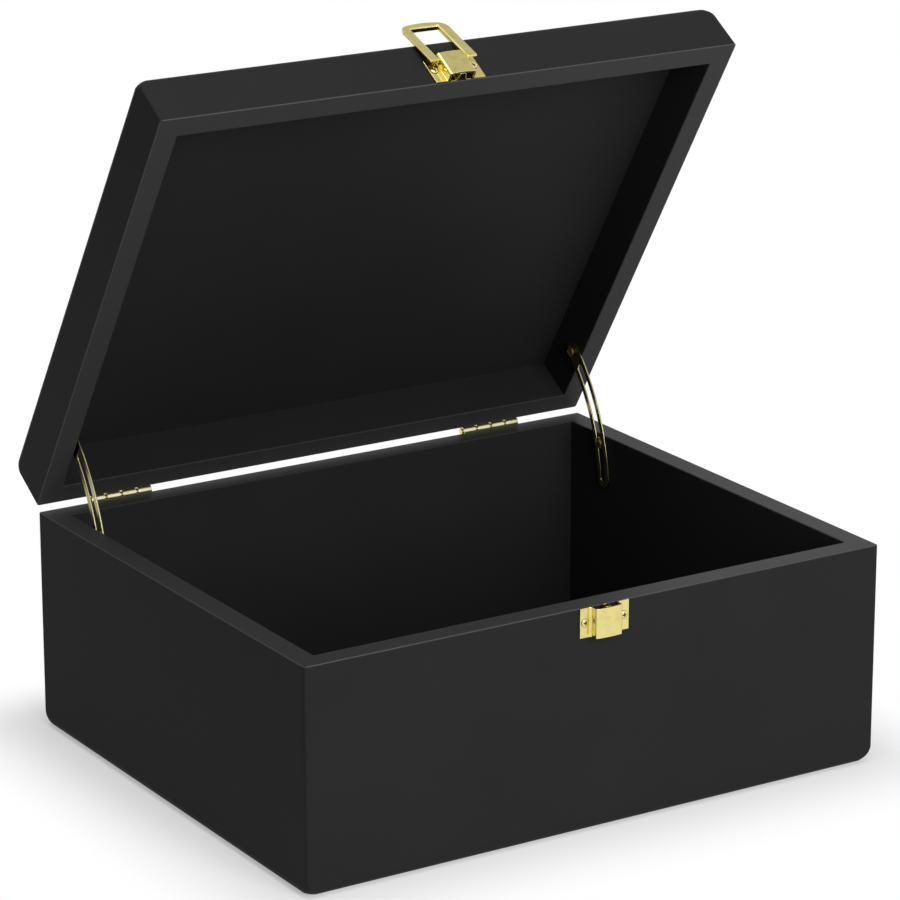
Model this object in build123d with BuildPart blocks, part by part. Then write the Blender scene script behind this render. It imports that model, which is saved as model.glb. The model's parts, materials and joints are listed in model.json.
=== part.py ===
from build123d import *
import math
import os

os.makedirs("parts", exist_ok=True)

# Frame: +X to the right, +Y to the back, +Z up, origin at the middle of the underside.
# Lengths are in millimetres and angles in degrees.

# ---- Wooden case ----
box_length = 330.0          # outside, along X
box_depth = 268.5           # outside, along Y
base_height = 115.6         # underside to the base's rim
lid_height = 30.5           # lid's rim to its top
wall = 12.0                 # side walls of the base and the lid
bottom_thickness = 6.0      # bottom panel, glued under the walls
top_thickness = 6.0         # top panel, glued over the lid's rails
edge_round = 5.8            # round-over on the bottom panel's and top panel's edges
least_side = 0.1            # least upright side left beside the round-over
corner_round = 1.5          # upright corners
corner_sanding = 9.5        # radius, along the diagonals, of the box's sanded bottom and top corners
sanding_start = 0.04        # how far off the upright corners that radius starts
rim_ease = 0.6              # sanded edges of both rims
rim_gap = 0.4               # between the rims when the lid is down

# ---- Lid movement ----
rest_angle = 58.0           # the lid's opening as modelled
open_angle = 92.0           # the lid's widest opening

# ---- Fits ----
run_fit = 0.05              # radial clearance of a pin that turns in its eye
side_gap = 0.3              # clearance between pieces that move past each other
pilot_fit = 0.05            # radial clearance of a screw in its pilot hole
pilot_spare = 0.5           # a pilot hole's depth past its screw's tip

# ---- Hinges ----
hinge_length = 36.0
left_hinge_inset = 48.2     # left hinge's middle to the box's left end
right_hinge_inset = 56.1    # right hinge's middle to the box's right end
leaf_thickness = 1.2
leaf_height = 15.0          # from the hinge's axis to the leaf's far edge
barrel_radius = 2.8
hinge_pin_radius = 1.4
knuckle_count = 4
knuckle_gap = 1.4
leaf_corner = 1.5
leaf_strap = 0.75           # how far a knuckle's strap runs onto its leaf
leaf_screw_spacing = 20.0
leaf_screw_height = 9.0     # from the hinge's axis

# ---- Latch: hooded plates ----
sheet = 1.2                 # brass sheet of both hooded plates
plate_width = 28.0
catch_height = 15.0
latch_plate_height = 15.0
hood_width = 15.2
catch_proud = 6.2           # hood's front off the wood
latch_proud = 6.3
catch_fold = 1.5            # hollow fold between flange and hood
latch_fold = 0.4
hood_bend = 1.3             # outer bend at the hood's front corners
hood_peak = 0.6             # rise of a hood's front from its corners to its middle
hood_peak_radius = 50.0     # rounds that rise into a crown
hood_seat = 0.04            # clearance of the spring and the tab under the crown
plate_screw_spacing = 22.4
catch_screw_drop = 7.4      # below the base's rim
latch_screw_rise = 8.0      # above the lid's rim
spring_width = 3.2
spring_strip = 0.8
spring_length = 12.0
spring_corner = 1.28        # outer corners, seen from above
tab_strip = 0.8
tab_length = 6.2
tab_width = 4.4
tab_foot = 11.0             # across both feet

# ---- Latch: loop ----
loop_thickness = 1.2
loop_width = 27.0
loop_reach = 31.6           # pivot to the middle of the far edge
loop_leg_end = 1.6          # how far the legs' squared ends reach past the pivot
loop_corner = 5.8
loop_crown = 2.0            # rise of the far edge from its corners to its middle
loop_crown_radius = 45.0    # rounds that rise into a crown
loop_face = 1.5             # loop's face to the pivot's line
loop_wall = 1.2             # thickness of the wall folded back round the window
leg_wall_depth = 2.4        # from the loop's face, along the legs
far_wall_depth = 2.9        # from the loop's face, along the far side
loop_eye_radius = 1.4
eye_depth = 0.9             # of the blind eyes that the pin's ends sit in
pin_end_gap = 0.2           # between the pin's ends and the bottoms of their eyes
loop_pin_radius = 0.7
pivot_rise = 12.0           # loop pivot above the lid's rim
pivot_proud = 3.9           # loop pivot off the lid's front
catch_margin = 0.4          # between the catch's far corner and the window's far side
loop_rest_gap = 0.25        # loop to the lid's rounded edge when it lies back

# ---- Lid stays ----
stay_thickness = 0.8
stay_width = 10.0
slot_width = 4.4
stay_tail = 5.4             # past the last place of the guide pin
stay_turn = 0.65            # share of the lid's turn that a stay makes
pivot_forward = 43.0        # stay's pivot on the lid, from the hinge's axis, lid down
pivot_up = 6.8
guide_forward = 44.6        # guide pin on the base, from the hinge's axis
guide_down = 4.4
washer_thickness = 0.5
washer_radius = 3.4
stay_pin_radius = 1.6
stay_pin_head_radius = 2.9
stay_pin_head = 2.2

# ---- Screws ----
small_head_radius = 2.1
small_head = 0.7
small_shank_radius = 1.1
small_shank_length = 8.0
stay_shank_length = 9.0     # in the wood
head_rim_share = 0.35       # of a head's height, below its dome
recess_share = 0.58         # of a head's diameter, taken by its cross recess
recess_width = 0.5
recess_depth = 0.45

# ---- Worked out from the sizes above ----
sanding_bearings = (22.5, 45, 67.5, 112.5, 135, 157.5)
half_length = box_length / 2
half_depth = box_depth / 2
hinge_y = half_depth + barrel_radius
hinge_z = base_height + rim_gap / 2
lid_rim = base_height + rim_gap
lid_top = lid_rim + lid_height
hinge_line = Axis((0, hinge_y, hinge_z), (-1, 0, 0))
front_y = -half_depth


def swing(part):
    """Turns a piece of the lid from its shut place to its place at rest."""
    return part.rotate(hinge_line, rest_angle)


def save(part, name):
    """Labels a finished piece and writes its STEP file."""
    part.label = name
    export_step(part, f"parts/{name}.step")


# ---- Screws and pins ----

def round_screw(head_radius, head_height, shank_radius, shank_length, collar=0.0):
    """A domed cross-head screw on +Z: its head's flat underside lies at the origin."""
    rim = head_rim_share * head_height
    dome = head_height - rim
    dome_radius = (head_radius ** 2 + dome ** 2) / (2 * dome)
    halfway = head_radius / 2
    halfway_z = head_height - dome_radius + math.sqrt(dome_radius ** 2 - halfway ** 2)
    with BuildPart() as screw:
        with BuildSketch(Plane.XZ):
            with BuildLine():
                tip = -shank_length - collar
                Polyline((0, head_height), (0, tip), (shank_radius, tip), (shank_radius, 0),
                         (head_radius, 0), (head_radius, rim))
                ThreePointArc((head_radius, rim), (halfway, halfway_z), (0, head_height))
            make_face()
        revolve(axis=Axis.Z)
        with BuildSketch(Plane.XY.offset(head_height)):
            Rectangle(recess_share * 2 * head_radius, recess_width)
            Rectangle(recess_width, recess_share * 2 * head_radius)
        extrude(amount=-recess_depth, mode=Mode.SUBTRACT)
    return screw.part


def place_all(piece, planes):
    """Copies of one piece, one on each plane, as a group of separate solids."""
    with BuildPart() as group:
        with Locations(*planes):
            add(piece)
    return group.part


small_screw = round_screw(small_head_radius, small_head, small_shank_radius, small_shank_length)
pilot_radius = small_shank_radius + pilot_fit
pilot_depth = small_shank_length + pilot_spare


# ---- Wooden frames ----

def frame_side(toward, low, height, rim_up):
    """One mitred side of a frame: toward is the way it faces, and rim_up puts its rim on top."""
    a, b = half_length, half_depth
    c, d = half_length - wall, half_depth - wall
    corners = {
        "front": [(-a, -b), (a, -b), (c, -d), (-c, -d)],
        "back": [(a, b), (-a, b), (-c, d), (c, d)],
        "left": [(-a, b), (-a, -b), (-c, -d), (-c, d)],
        "right": [(a, -b), (a, b), (c, d), (c, -d)],
    }[toward]
    with BuildPart() as side:
        with BuildSketch(Plane.XY.offset(low)):
            with BuildLine():
                Polyline(*corners, close=True)
            make_face()
            RectangleRounded(box_length, box_depth, corner_round, mode=Mode.INTERSECT)
        extrude(amount=height)
        rim = side.faces().sort_by(Axis.Z)[-1 if rim_up else 0]
        turns = [(edge, edge.tangent_at(0.5)) for edge in rim.edges()]
        mitres = [edge for edge, turn in turns
                  if edge.geom_type == GeomType.LINE and abs(abs(turn.X) - abs(turn.Y)) < 0.1]
        fillet([edge for edge, turn in turns if edge not in mitres], rim_ease)
    return side.part


def rounded_section(plane, half, square_z, rounded_z, full_radius):
    """A section across one plane: square corners at one height, rounded ones at the other."""
    way = 1 if square_z > rounded_z else -1
    radius = min(full_radius, abs(square_z - rounded_z) - least_side)
    bow = radius * (1 - math.sqrt(0.5))
    side_end = rounded_z + way * radius
    arc_middle_z = rounded_z + way * bow
    with BuildSketch(plane) as section:
        with BuildLine():
            Polyline((-half, side_end), (-half, square_z), (half, square_z), (half, side_end))
            ThreePointArc((half, side_end), (half - bow, arc_middle_z), (half - radius, rounded_z))
            Line((half - radius, rounded_z), (radius - half, rounded_z))
            ThreePointArc((radius - half, rounded_z), (bow - half, arc_middle_z), (-half, side_end))
        make_face()
    return section.sketch


def rounded_panel(square_z, rounded_z):
    """A full-size panel between two heights, with the edges of one of its faces rounded over."""
    with BuildPart() as panel:
        extrude(rounded_section(Plane.XZ, half_length, square_z, rounded_z, edge_round), amount=half_depth,
                both=True)
        extrude(rounded_section(Plane.YZ, half_depth, square_z, rounded_z, edge_round), amount=half_length,
                both=True, mode=Mode.INTERSECT)
        with BuildSketch(Plane.XY.offset(square_z)):
            RectangleRounded(box_length, box_depth, corner_round)
        extrude(amount=rounded_z - square_z, mode=Mode.INTERSECT)
    return panel.part


def sanded_case(square_z, rounded_z):
    """The case's space between two heights, with its four corners at the rounded one sanded off.

    It is what sections across several upright planes leave, and the arc is widest across the diagonals.
    """
    with BuildPart() as case:
        for number, bearing in enumerate(sanding_bearings):
            along, across = math.cos(math.radians(bearing)), math.sin(math.radians(bearing))
            beyond = abs(along) + abs(across) - 1
            reach = half_length * abs(along) + half_depth * abs(across) - corner_round * beyond + sanding_start
            radius = edge_round + (corner_sanding - edge_round) * beyond / (math.sqrt(2) - 1)
            plane = Plane(origin=(0, 0, 0), x_dir=(along, across, 0), z_dir=(across, -along, 0))
            extrude(rounded_section(plane, reach, square_z, rounded_z, radius), amount=box_length, both=True,
                    mode=Mode.INTERSECT if number else Mode.ADD)
    return case.part


base_case = sanded_case(base_height, 0)
lid_case = sanded_case(lid_rim, lid_top)

# ---- Places of the fasteners ----

hinge_middles = (left_hinge_inset - half_length, half_length - right_hinge_inset)
leaf_screw_x = [middle + side * leaf_screw_spacing / 2 for middle in hinge_middles for side in (-1, 1)]
leaf_face_y = half_depth + leaf_thickness


def facing_back(x, y, z):
    """A plane at a point, facing the back."""
    return Plane(origin=(x, y, z), x_dir=(1, 0, 0), z_dir=(0, 1, 0))


def facing_front(x, y, z):
    """A plane at a point, facing the front."""
    return Plane(origin=(x, y, z), x_dir=(1, 0, 0), z_dir=(0, -1, 0))


def facing_middle(side, x, y, z):
    """A plane at a point of the right (1) or left (-1) wall, facing the middle of the box."""
    return Plane(origin=(side * x, y, z), x_dir=(0, 1, 0), z_dir=(-side, 0, 0))


latch_screw_x = [side * plate_screw_spacing / 2 for side in (-1, 1)]
catch_screw_z = base_height - catch_screw_drop
latch_screw_z = lid_rim + latch_screw_rise
inner_x = half_length - wall
guide_y, guide_z = hinge_y - guide_forward, hinge_z - guide_down
pivot_y, pivot_z = hinge_y - pivot_forward, hinge_z + pivot_up
stay_pilot_radius = stay_pin_radius + pilot_fit
stay_pilot_depth = stay_shank_length + pilot_spare

# ---- Base ----

base_wall_height = base_height - bottom_thickness

with BuildPart() as base_front_panel:
    add(frame_side("front", bottom_thickness, base_wall_height, True))
    add(base_case, mode=Mode.INTERSECT)
    with Locations(*[facing_front(x, front_y, catch_screw_z) for x in latch_screw_x]):
        Hole(pilot_radius, depth=pilot_depth)
save(base_front_panel.part, "base_front_panel")

with BuildPart() as base_back_panel:
    add(frame_side("back", bottom_thickness, base_wall_height, True))
    add(base_case, mode=Mode.INTERSECT)
    with Locations(*[facing_back(x, half_depth, hinge_z - leaf_screw_height) for x in leaf_screw_x]):
        Hole(pilot_radius, depth=pilot_depth)
save(base_back_panel.part, "base_back_panel")

for side, name in ((-1, "left"), (1, "right")):
    with BuildPart() as base_side_panel:
        add(frame_side(name, bottom_thickness, base_wall_height, True))
        add(base_case, mode=Mode.INTERSECT)
        with Locations(facing_middle(side, inner_x, guide_y, guide_z)):
            Hole(stay_pilot_radius, depth=stay_pilot_depth)
    save(base_side_panel.part, f"base_{name}_panel")

with BuildPart() as base_bottom_panel:
    add(rounded_panel(bottom_thickness, 0))
    add(base_case, mode=Mode.INTERSECT)
save(base_bottom_panel.part, "base_bottom_panel")

# ---- Lid ----

rail_height = lid_height - top_thickness

with BuildPart() as lid_front_rail:
    add(frame_side("front", lid_rim, rail_height, False))
    add(lid_case, mode=Mode.INTERSECT)
    with Locations(*[facing_front(x, front_y, latch_screw_z) for x in latch_screw_x]):
        Hole(pilot_radius, depth=pilot_depth)
save(swing(lid_front_rail.part), "lid_front_rail")

with BuildPart() as lid_back_rail:
    add(frame_side("back", lid_rim, rail_height, False))
    add(lid_case, mode=Mode.INTERSECT)
    with Locations(*[facing_back(x, half_depth, hinge_z + leaf_screw_height) for x in leaf_screw_x]):
        Hole(pilot_radius, depth=pilot_depth)
save(swing(lid_back_rail.part), "lid_back_rail")

for side, name in ((-1, "left"), (1, "right")):
    with BuildPart() as lid_side_rail:
        add(frame_side(name, lid_rim, rail_height, False))
        add(lid_case, mode=Mode.INTERSECT)
        with Locations(facing_middle(side, inner_x, pivot_y, pivot_z)):
            Hole(stay_pilot_radius, depth=stay_pilot_depth)
    save(swing(lid_side_rail.part), f"lid_{name}_rail")

with BuildPart() as lid_top_panel:
    add(rounded_panel(lid_top - top_thickness, lid_top))
    add(lid_case, mode=Mode.INTERSECT)
save(swing(lid_top_panel.part), "lid_top_panel")

# ---- Hinges ----

knuckle_pitch = hinge_length / knuckle_count
eye_radius = hinge_pin_radius + run_fit


def hinge_leaf(middle, way):
    """One leaf with every second knuckle: way is 1 for the lid's leaf and -1 for the base's."""
    face = facing_back(middle, half_depth, hinge_z)
    with BuildPart() as leaf:
        with BuildSketch(face) as outline:
            with Locations((0, -way * (leaf_height + barrel_radius) / 2)):
                Rectangle(hinge_length, leaf_height - barrel_radius)
            fillet(outline.vertices().group_by(Axis.Y)[0 if way > 0 else -1], leaf_corner)
        extrude(amount=leaf_thickness)
        for knuckle in range(0 if way < 0 else 1, knuckle_count, 2):
            x = middle + (knuckle + 0.5) * knuckle_pitch - hinge_length / 2
            with BuildSketch(Plane.YZ.offset(x)):
                with Locations((hinge_y, hinge_z)):
                    Circle(barrel_radius)
                with BuildLine():
                    reach = hinge_z + way * (barrel_radius + leaf_strap)
                    Polyline((half_depth, hinge_z), (half_depth, reach), (leaf_face_y, reach),
                             (leaf_face_y, hinge_z), close=True)
                make_face()
            extrude(amount=(knuckle_pitch - knuckle_gap) / 2, both=True)
        with BuildSketch(Plane.YZ.offset(middle)):
            with Locations((hinge_y, hinge_z)):
                Circle(eye_radius)
        extrude(amount=hinge_length, both=True, mode=Mode.SUBTRACT)
        screws = [x for x in leaf_screw_x if abs(x - middle) < hinge_length / 2]
        with Locations(*[facing_back(x, leaf_face_y, hinge_z + way * leaf_screw_height) for x in screws]):
            Hole(pilot_radius, depth=leaf_thickness)
    return leaf.part


for middle, name in zip(hinge_middles, ("left", "right")):
    save(hinge_leaf(middle, -1), f"{name}_hinge_base_leaf")
    save(swing(hinge_leaf(middle, 1)), f"{name}_hinge_lid_leaf")
    with BuildPart() as hinge_pin:
        with BuildSketch(Plane.YZ.offset(middle)):
            with Locations((hinge_y, hinge_z)):
                Circle(hinge_pin_radius)
        extrude(amount=hinge_length / 2, both=True)
    save(hinge_pin.part, f"{name}_hinge_pin")

base_leaf_screws = [facing_back(x, leaf_face_y, hinge_z - leaf_screw_height) for x in leaf_screw_x]
lid_leaf_screws = [facing_back(x, leaf_face_y, hinge_z + leaf_screw_height) for x in leaf_screw_x]
save(place_all(small_screw, base_leaf_screws), "hinge_base_screws")
save(swing(place_all(small_screw, lid_leaf_screws)), "hinge_lid_screws")

# ---- Latch: hooded plates ----


def hooded_plate(low, height, proud, fold):
    """A bent sheet on the front: two flat flanges and a crowned hood between them, open above and below."""
    mid_face = front_y - sheet / 2
    mid_side = (hood_width - sheet) / 2
    crown_top = front_y - proud + sheet / 2
    crown_slope = math.atan2(hood_peak, mid_side)
    mid_peak = crown_top - hood_peak_radius * (1 / math.cos(crown_slope) - 1)
    mid_front = mid_peak + hood_peak
    edge = plate_width / 2
    fold_radius = fold + sheet / 2
    bend_radius = hood_bend - sheet / 2
    with BuildPart() as plate:
        with BuildSketch(Plane.XY.offset(low)):
            with BuildLine():
                FilletPolyline((-edge, mid_face), (-mid_side, mid_face), (-mid_side, mid_front),
                               (0, mid_peak), (mid_side, mid_front), (mid_side, mid_face), (edge, mid_face),
                               radius=[fold_radius, bend_radius, hood_peak_radius, bend_radius, fold_radius])
            trace(line_width=sheet)
        extrude(amount=height)
    return plate.part


catch_low = base_height - catch_height
catch_planes = [facing_front(x, front_y - sheet, catch_screw_z) for x in latch_screw_x]
with BuildPart() as catch_plate:
    add(hooded_plate(catch_low, catch_height, catch_proud, catch_fold))
    with Locations(*catch_planes):
        Hole(pilot_radius, depth=sheet)
save(catch_plate.part, "catch_plate")
save(place_all(small_screw, catch_planes), "catch_screws")

spring_depth = catch_proud - sheet - hood_seat
with BuildPart() as catch_spring:
    with BuildSketch(Plane.XY.offset(base_height)):
        with Locations((0, front_y - spring_depth / 2)):
            RectangleRounded(spring_width, spring_depth, spring_corner)
            RectangleRounded(spring_width - 2 * spring_strip, spring_depth - 2 * spring_strip,
                             spring_corner - spring_strip, mode=Mode.SUBTRACT)
    extrude(amount=-spring_length)
save(catch_spring.part, "catch_spring")

latch_planes = [facing_front(x, front_y - sheet, latch_screw_z) for x in latch_screw_x]
pivot_line_y = front_y - pivot_proud
pivot_line_z = lid_rim + pivot_rise
with BuildPart() as latch_plate:
    add(hooded_plate(lid_rim, latch_plate_height, latch_proud, latch_fold))
    with Locations(*latch_planes):
        Hole(pilot_radius, depth=sheet)
    with BuildSketch(Plane.YZ):
        with Locations((pivot_line_y, pivot_line_z)):
            Circle(loop_pin_radius)
    extrude(amount=hood_width, both=True, mode=Mode.SUBTRACT)
save(swing(latch_plate.part), "latch_plate")
save(swing(place_all(small_screw, latch_planes)), "latch_screws")

tab_mid = tab_strip / 2
tab_heel = tab_width / 2 + tab_mid
tab_shoulder = tab_width / 2 - tab_strip
tab_foot_y = front_y - tab_mid
tab_top_y = front_y - latch_proud + sheet + hood_seat + tab_mid
with BuildPart() as latch_inner_tab:
    with BuildSketch(Plane.XY.offset(lid_rim)):
        with BuildLine():
            FilletPolyline((-tab_foot / 2, tab_foot_y), (-tab_heel, tab_foot_y), (-tab_shoulder, tab_top_y),
                           (tab_shoulder, tab_top_y), (tab_heel, tab_foot_y), (tab_foot / 2, tab_foot_y),
                           radius=tab_strip)
        trace(line_width=tab_strip)
    extrude(amount=tab_length)
save(swing(latch_inner_tab.part), "latch_inner_tab")

# ---- Latch: loop ----

# The loop lies back on the rounded top edge of the lid's front, with its folded walls over the edge.
rise_to_edge = lid_height - edge_round - pivot_rise
edge_inset = pivot_proud + edge_round
wall_below_pivot = leg_wall_depth - loop_face
clear_of_edge = edge_round + loop_rest_gap + wall_below_pivot
slant = math.acos(clear_of_edge / math.hypot(rise_to_edge, edge_inset)) - math.atan2(rise_to_edge, edge_inset)
window_half = hood_width / 2 + side_gap
catch_far = pivot_rise + rim_gap + catch_height
catch_corner = math.hypot(catch_far, max(catch_proud - pivot_proud, loop_face))
window_end = catch_corner + catch_margin
crown_slope = math.atan2(loop_crown, loop_width / 2)
crown_peak = loop_reach + loop_crown_radius * (1 / math.cos(crown_slope) - 1)
loop_plane = Plane(origin=(0, pivot_line_y, pivot_line_z), x_dir=(1, 0, 0),
                   z_dir=(0, -math.cos(slant), math.sin(slant)))
face_plane = loop_plane.offset(loop_face)

with BuildPart() as latch_loop:
    with BuildSketch(face_plane):
        with BuildLine():
            half = loop_width / 2
            corner_y = crown_peak - loop_crown
            FilletPolyline((-half, -loop_leg_end), (-half, corner_y), (0, crown_peak), (half, corner_y),
                           (half, -loop_leg_end), radius=[loop_corner, loop_crown_radius, loop_corner])
            Line((half, -loop_leg_end), (-half, -loop_leg_end))
        make_face()
        with Locations((0, (window_end - loop_leg_end) / 2)):
            Rectangle(2 * window_half, window_end + loop_leg_end, mode=Mode.SUBTRACT)
    extrude(amount=-loop_thickness)
    with BuildSketch(face_plane):
        with Locations((0, window_end + loop_wall / 2)):
            Rectangle(2 * (window_half + loop_wall), loop_wall)
    extrude(amount=-far_wall_depth)
    for side in (-1, 1):
        with BuildSketch(face_plane):
            with Locations((side * (window_half + loop_wall / 2), (window_end - loop_leg_end) / 2)):
                Rectangle(loop_wall, window_end + loop_leg_end)
        extrude(amount=-leg_wall_depth)
        with BuildSketch(Plane.YZ.offset(side * (window_half + loop_wall / 2))):
            with Locations((pivot_line_y, pivot_line_z)):
                Circle(loop_eye_radius)
        extrude(amount=loop_wall / 2, both=True)
    with BuildSketch(Plane.YZ):
        with Locations((pivot_line_y, pivot_line_z)):
            Circle(loop_pin_radius + run_fit)
    extrude(amount=window_half + eye_depth, both=True, mode=Mode.SUBTRACT)
save(swing(latch_loop.part), "latch_loop")

with BuildPart() as latch_pivot_pin:
    with BuildSketch(Plane.YZ):
        with Locations((pivot_line_y, pivot_line_z)):
            Circle(loop_pin_radius)
    extrude(amount=window_half + eye_depth - pin_end_gap, both=True)
save(swing(latch_pivot_pin.part), "latch_pivot_pin")

# ---- Lid stays ----

# In a stay's own plane X points forward from the hinge's axis and Y points up, with the lid down.
stay_pivot = Vector(pivot_forward, pivot_up)
guide_pin = Vector(guide_forward, -guide_down)


def pin_in_stay(opening):
    """Where the guide pin stands in the stay, with the lid opened by this many degrees."""
    to_pin = guide_pin - stay_pivot.rotate(Axis.Z, opening)
    return stay_pivot + to_pin.rotate(Axis.Z, -stay_turn * opening)


def stay_plane(face_x):
    """The plane of a stay's face at this X: its own X forward, its own Y up, facing -X."""
    return Plane(origin=(face_x, hinge_y, hinge_z), x_dir=(0, -1, 0), z_dir=(-1, 0, 0))


slot_arc = ThreePointArc(pin_in_stay(0), pin_in_stay(open_angle / 2), pin_in_stay(open_angle))
arc_middle = slot_arc.arc_center
arc_radius = slot_arc.radius
pivot_direction = stay_pivot - arc_middle
end_direction = pin_in_stay(open_angle) - arc_middle
pivot_bearing = math.degrees(math.atan2(pivot_direction.Y, pivot_direction.X))
end_bearing = math.degrees(math.atan2(end_direction.Y, end_direction.X))
tail_bearing = end_bearing - math.degrees((stay_tail - stay_width / 2) / arc_radius)
pivot_at_rest = stay_pivot.rotate(Axis.Z, rest_angle)
stay_inner = inner_x - washer_thickness - side_gap

for side, name in ((-1, "left"), (1, "right")):
    outer_face = stay_inner if side > 0 else stay_thickness - stay_inner
    with BuildPart() as stay:
        with BuildSketch(stay_plane(outer_face)):
            with BuildLine(mode=Mode.PRIVATE):
                strip = CenterArc(arc_middle, arc_radius, pivot_bearing, tail_bearing - pivot_bearing)
            SlotArc(strip, stay_width)
            SlotArc(slot_arc, slot_width, mode=Mode.SUBTRACT)
            with Locations((stay_pivot.X, stay_pivot.Y)):
                Circle(stay_pin_radius + run_fit, mode=Mode.SUBTRACT)
        extrude(amount=stay_thickness)
    pivot_point = (0, hinge_y - pivot_at_rest.X, hinge_z + pivot_at_rest.Y)
    turned_back = (stay_turn - 1) * rest_angle
    save(swing(stay.part).rotate(Axis(pivot_point, (-1, 0, 0)), turned_back), f"{name}_stay")

stay_screw_x = inner_x - washer_thickness - 2 * side_gap - stay_thickness
stay_screw = round_screw(stay_pin_head_radius, stay_pin_head, stay_pin_radius, stay_shank_length,
                         inner_x - stay_screw_x)
with BuildPart() as stay_washer:
    with BuildSketch():
        Circle(washer_radius)
        Circle(stay_pilot_radius, mode=Mode.SUBTRACT)
    extrude(amount=washer_thickness)

for name, y, z, turn in (("stay_guide", guide_y, guide_z, 0), ("stay_pivot", pivot_y, pivot_z, rest_angle)):
    screws = place_all(stay_screw, [facing_middle(side, stay_screw_x, y, z) for side in (-1, 1)])
    washers = place_all(stay_washer.part, [facing_middle(side, inner_x, y, z) for side in (-1, 1)])
    save(screws.rotate(hinge_line, turn), f"{name}_screws")
    save(washers.rotate(hinge_line, turn), f"{name}_washers")
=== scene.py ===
"""Looks of a painted wooden keepsake box with a hooded draw latch, lid stays and barrel hinges."""

import json
import logging
import math
from dataclasses import dataclass, replace
from enum import Enum

import bpy
import numpy as np
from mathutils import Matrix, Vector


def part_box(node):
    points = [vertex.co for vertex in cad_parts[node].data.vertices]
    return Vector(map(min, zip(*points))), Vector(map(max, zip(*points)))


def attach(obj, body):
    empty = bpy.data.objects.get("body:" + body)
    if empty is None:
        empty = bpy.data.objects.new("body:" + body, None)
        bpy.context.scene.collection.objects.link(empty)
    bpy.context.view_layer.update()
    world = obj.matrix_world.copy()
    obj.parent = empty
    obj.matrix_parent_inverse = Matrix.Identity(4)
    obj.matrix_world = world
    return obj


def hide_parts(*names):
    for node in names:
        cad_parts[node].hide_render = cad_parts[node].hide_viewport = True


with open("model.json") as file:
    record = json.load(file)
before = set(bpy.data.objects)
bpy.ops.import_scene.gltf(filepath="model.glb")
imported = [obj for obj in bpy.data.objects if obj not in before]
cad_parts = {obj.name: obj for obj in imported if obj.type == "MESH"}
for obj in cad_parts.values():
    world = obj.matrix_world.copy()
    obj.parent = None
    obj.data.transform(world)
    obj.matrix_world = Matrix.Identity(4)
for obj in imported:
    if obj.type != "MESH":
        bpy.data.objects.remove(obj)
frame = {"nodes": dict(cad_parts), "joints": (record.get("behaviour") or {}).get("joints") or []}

log = logging.getLogger("keepsake_box")

Colour = tuple[float, float, float]
Place = tuple[float, float, float]
Pair = tuple[float, float]
Array = np.ndarray

MM = 0.001
UP = np.array([0.0, 0.0, 1.0])
WHITE: Colour = (1.0, 1.0, 1.0)


class Side(Enum):
    """Which side wall of the box a piece is on."""

    LEFT = -1
    RIGHT = 1


class Body(Enum):
    """The moving bodies that pieces ride on."""

    BASE = "base"
    LID = "lid"
    LEFT_STAY = "left_stay"
    RIGHT_STAY = "right_stay"
    LOOP = "latch_loop"


class Slot(Enum):
    """The record's finishes that brass pieces take."""

    BRASS = "polished_brass"
    FASTENERS = "brass_fasteners"


# ---- Shader maths ----


class Wire:
    """A value that runs between shader nodes, so that shader maths reads as Python."""

    def __init__(self, bench: "Bench", socket: bpy.types.NodeSocket) -> None:
        """Holds one output socket of a node."""
        self.bench = bench
        self.socket = socket

    def maths(self, operation: str, *others: "Value") -> "Wire":
        """One Math node on this value.

        Args:
            operation: The node's operation.
            others: What goes into its further sockets, in order.

        Returns:
            The node's result.
        """
        return self.bench.node("ShaderNodeMath", {"operation": operation}, dict(enumerate((self, *others))))

    def __add__(self, other: "Value") -> "Wire":
        """This value plus another."""
        return self.maths("ADD", other)

    def __radd__(self, other: "Value") -> "Wire":
        """Another value plus this one."""
        return self.maths("ADD", other)

    def __sub__(self, other: "Value") -> "Wire":
        """This value less another."""
        return self.maths("SUBTRACT", other)

    def __rsub__(self, other: "Value") -> "Wire":
        """Another value less this one."""
        return self.maths("MULTIPLY", -1.0).maths("ADD", other)

    def __mul__(self, other: "Value") -> "Wire":
        """This value times another."""
        return self.maths("MULTIPLY", other)

    def __rmul__(self, other: "Value") -> "Wire":
        """Another value times this one."""
        return self.maths("MULTIPLY", other)

    def faded(self, low: float, high: float) -> "Wire":
        """A smooth step: 0 at low, 1 at high, and an even curve between them.

        Args:
            low: Where the result is 0.
            high: Where the result is 1.

        Returns:
            The stepped value.
        """
        return self.bench.node("ShaderNodeMapRange", {"interpolation_type": "SMOOTHSTEP"},
                               {"Value": self, "From Min": low, "From Max": high})


Value = Wire | float | tuple


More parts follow.
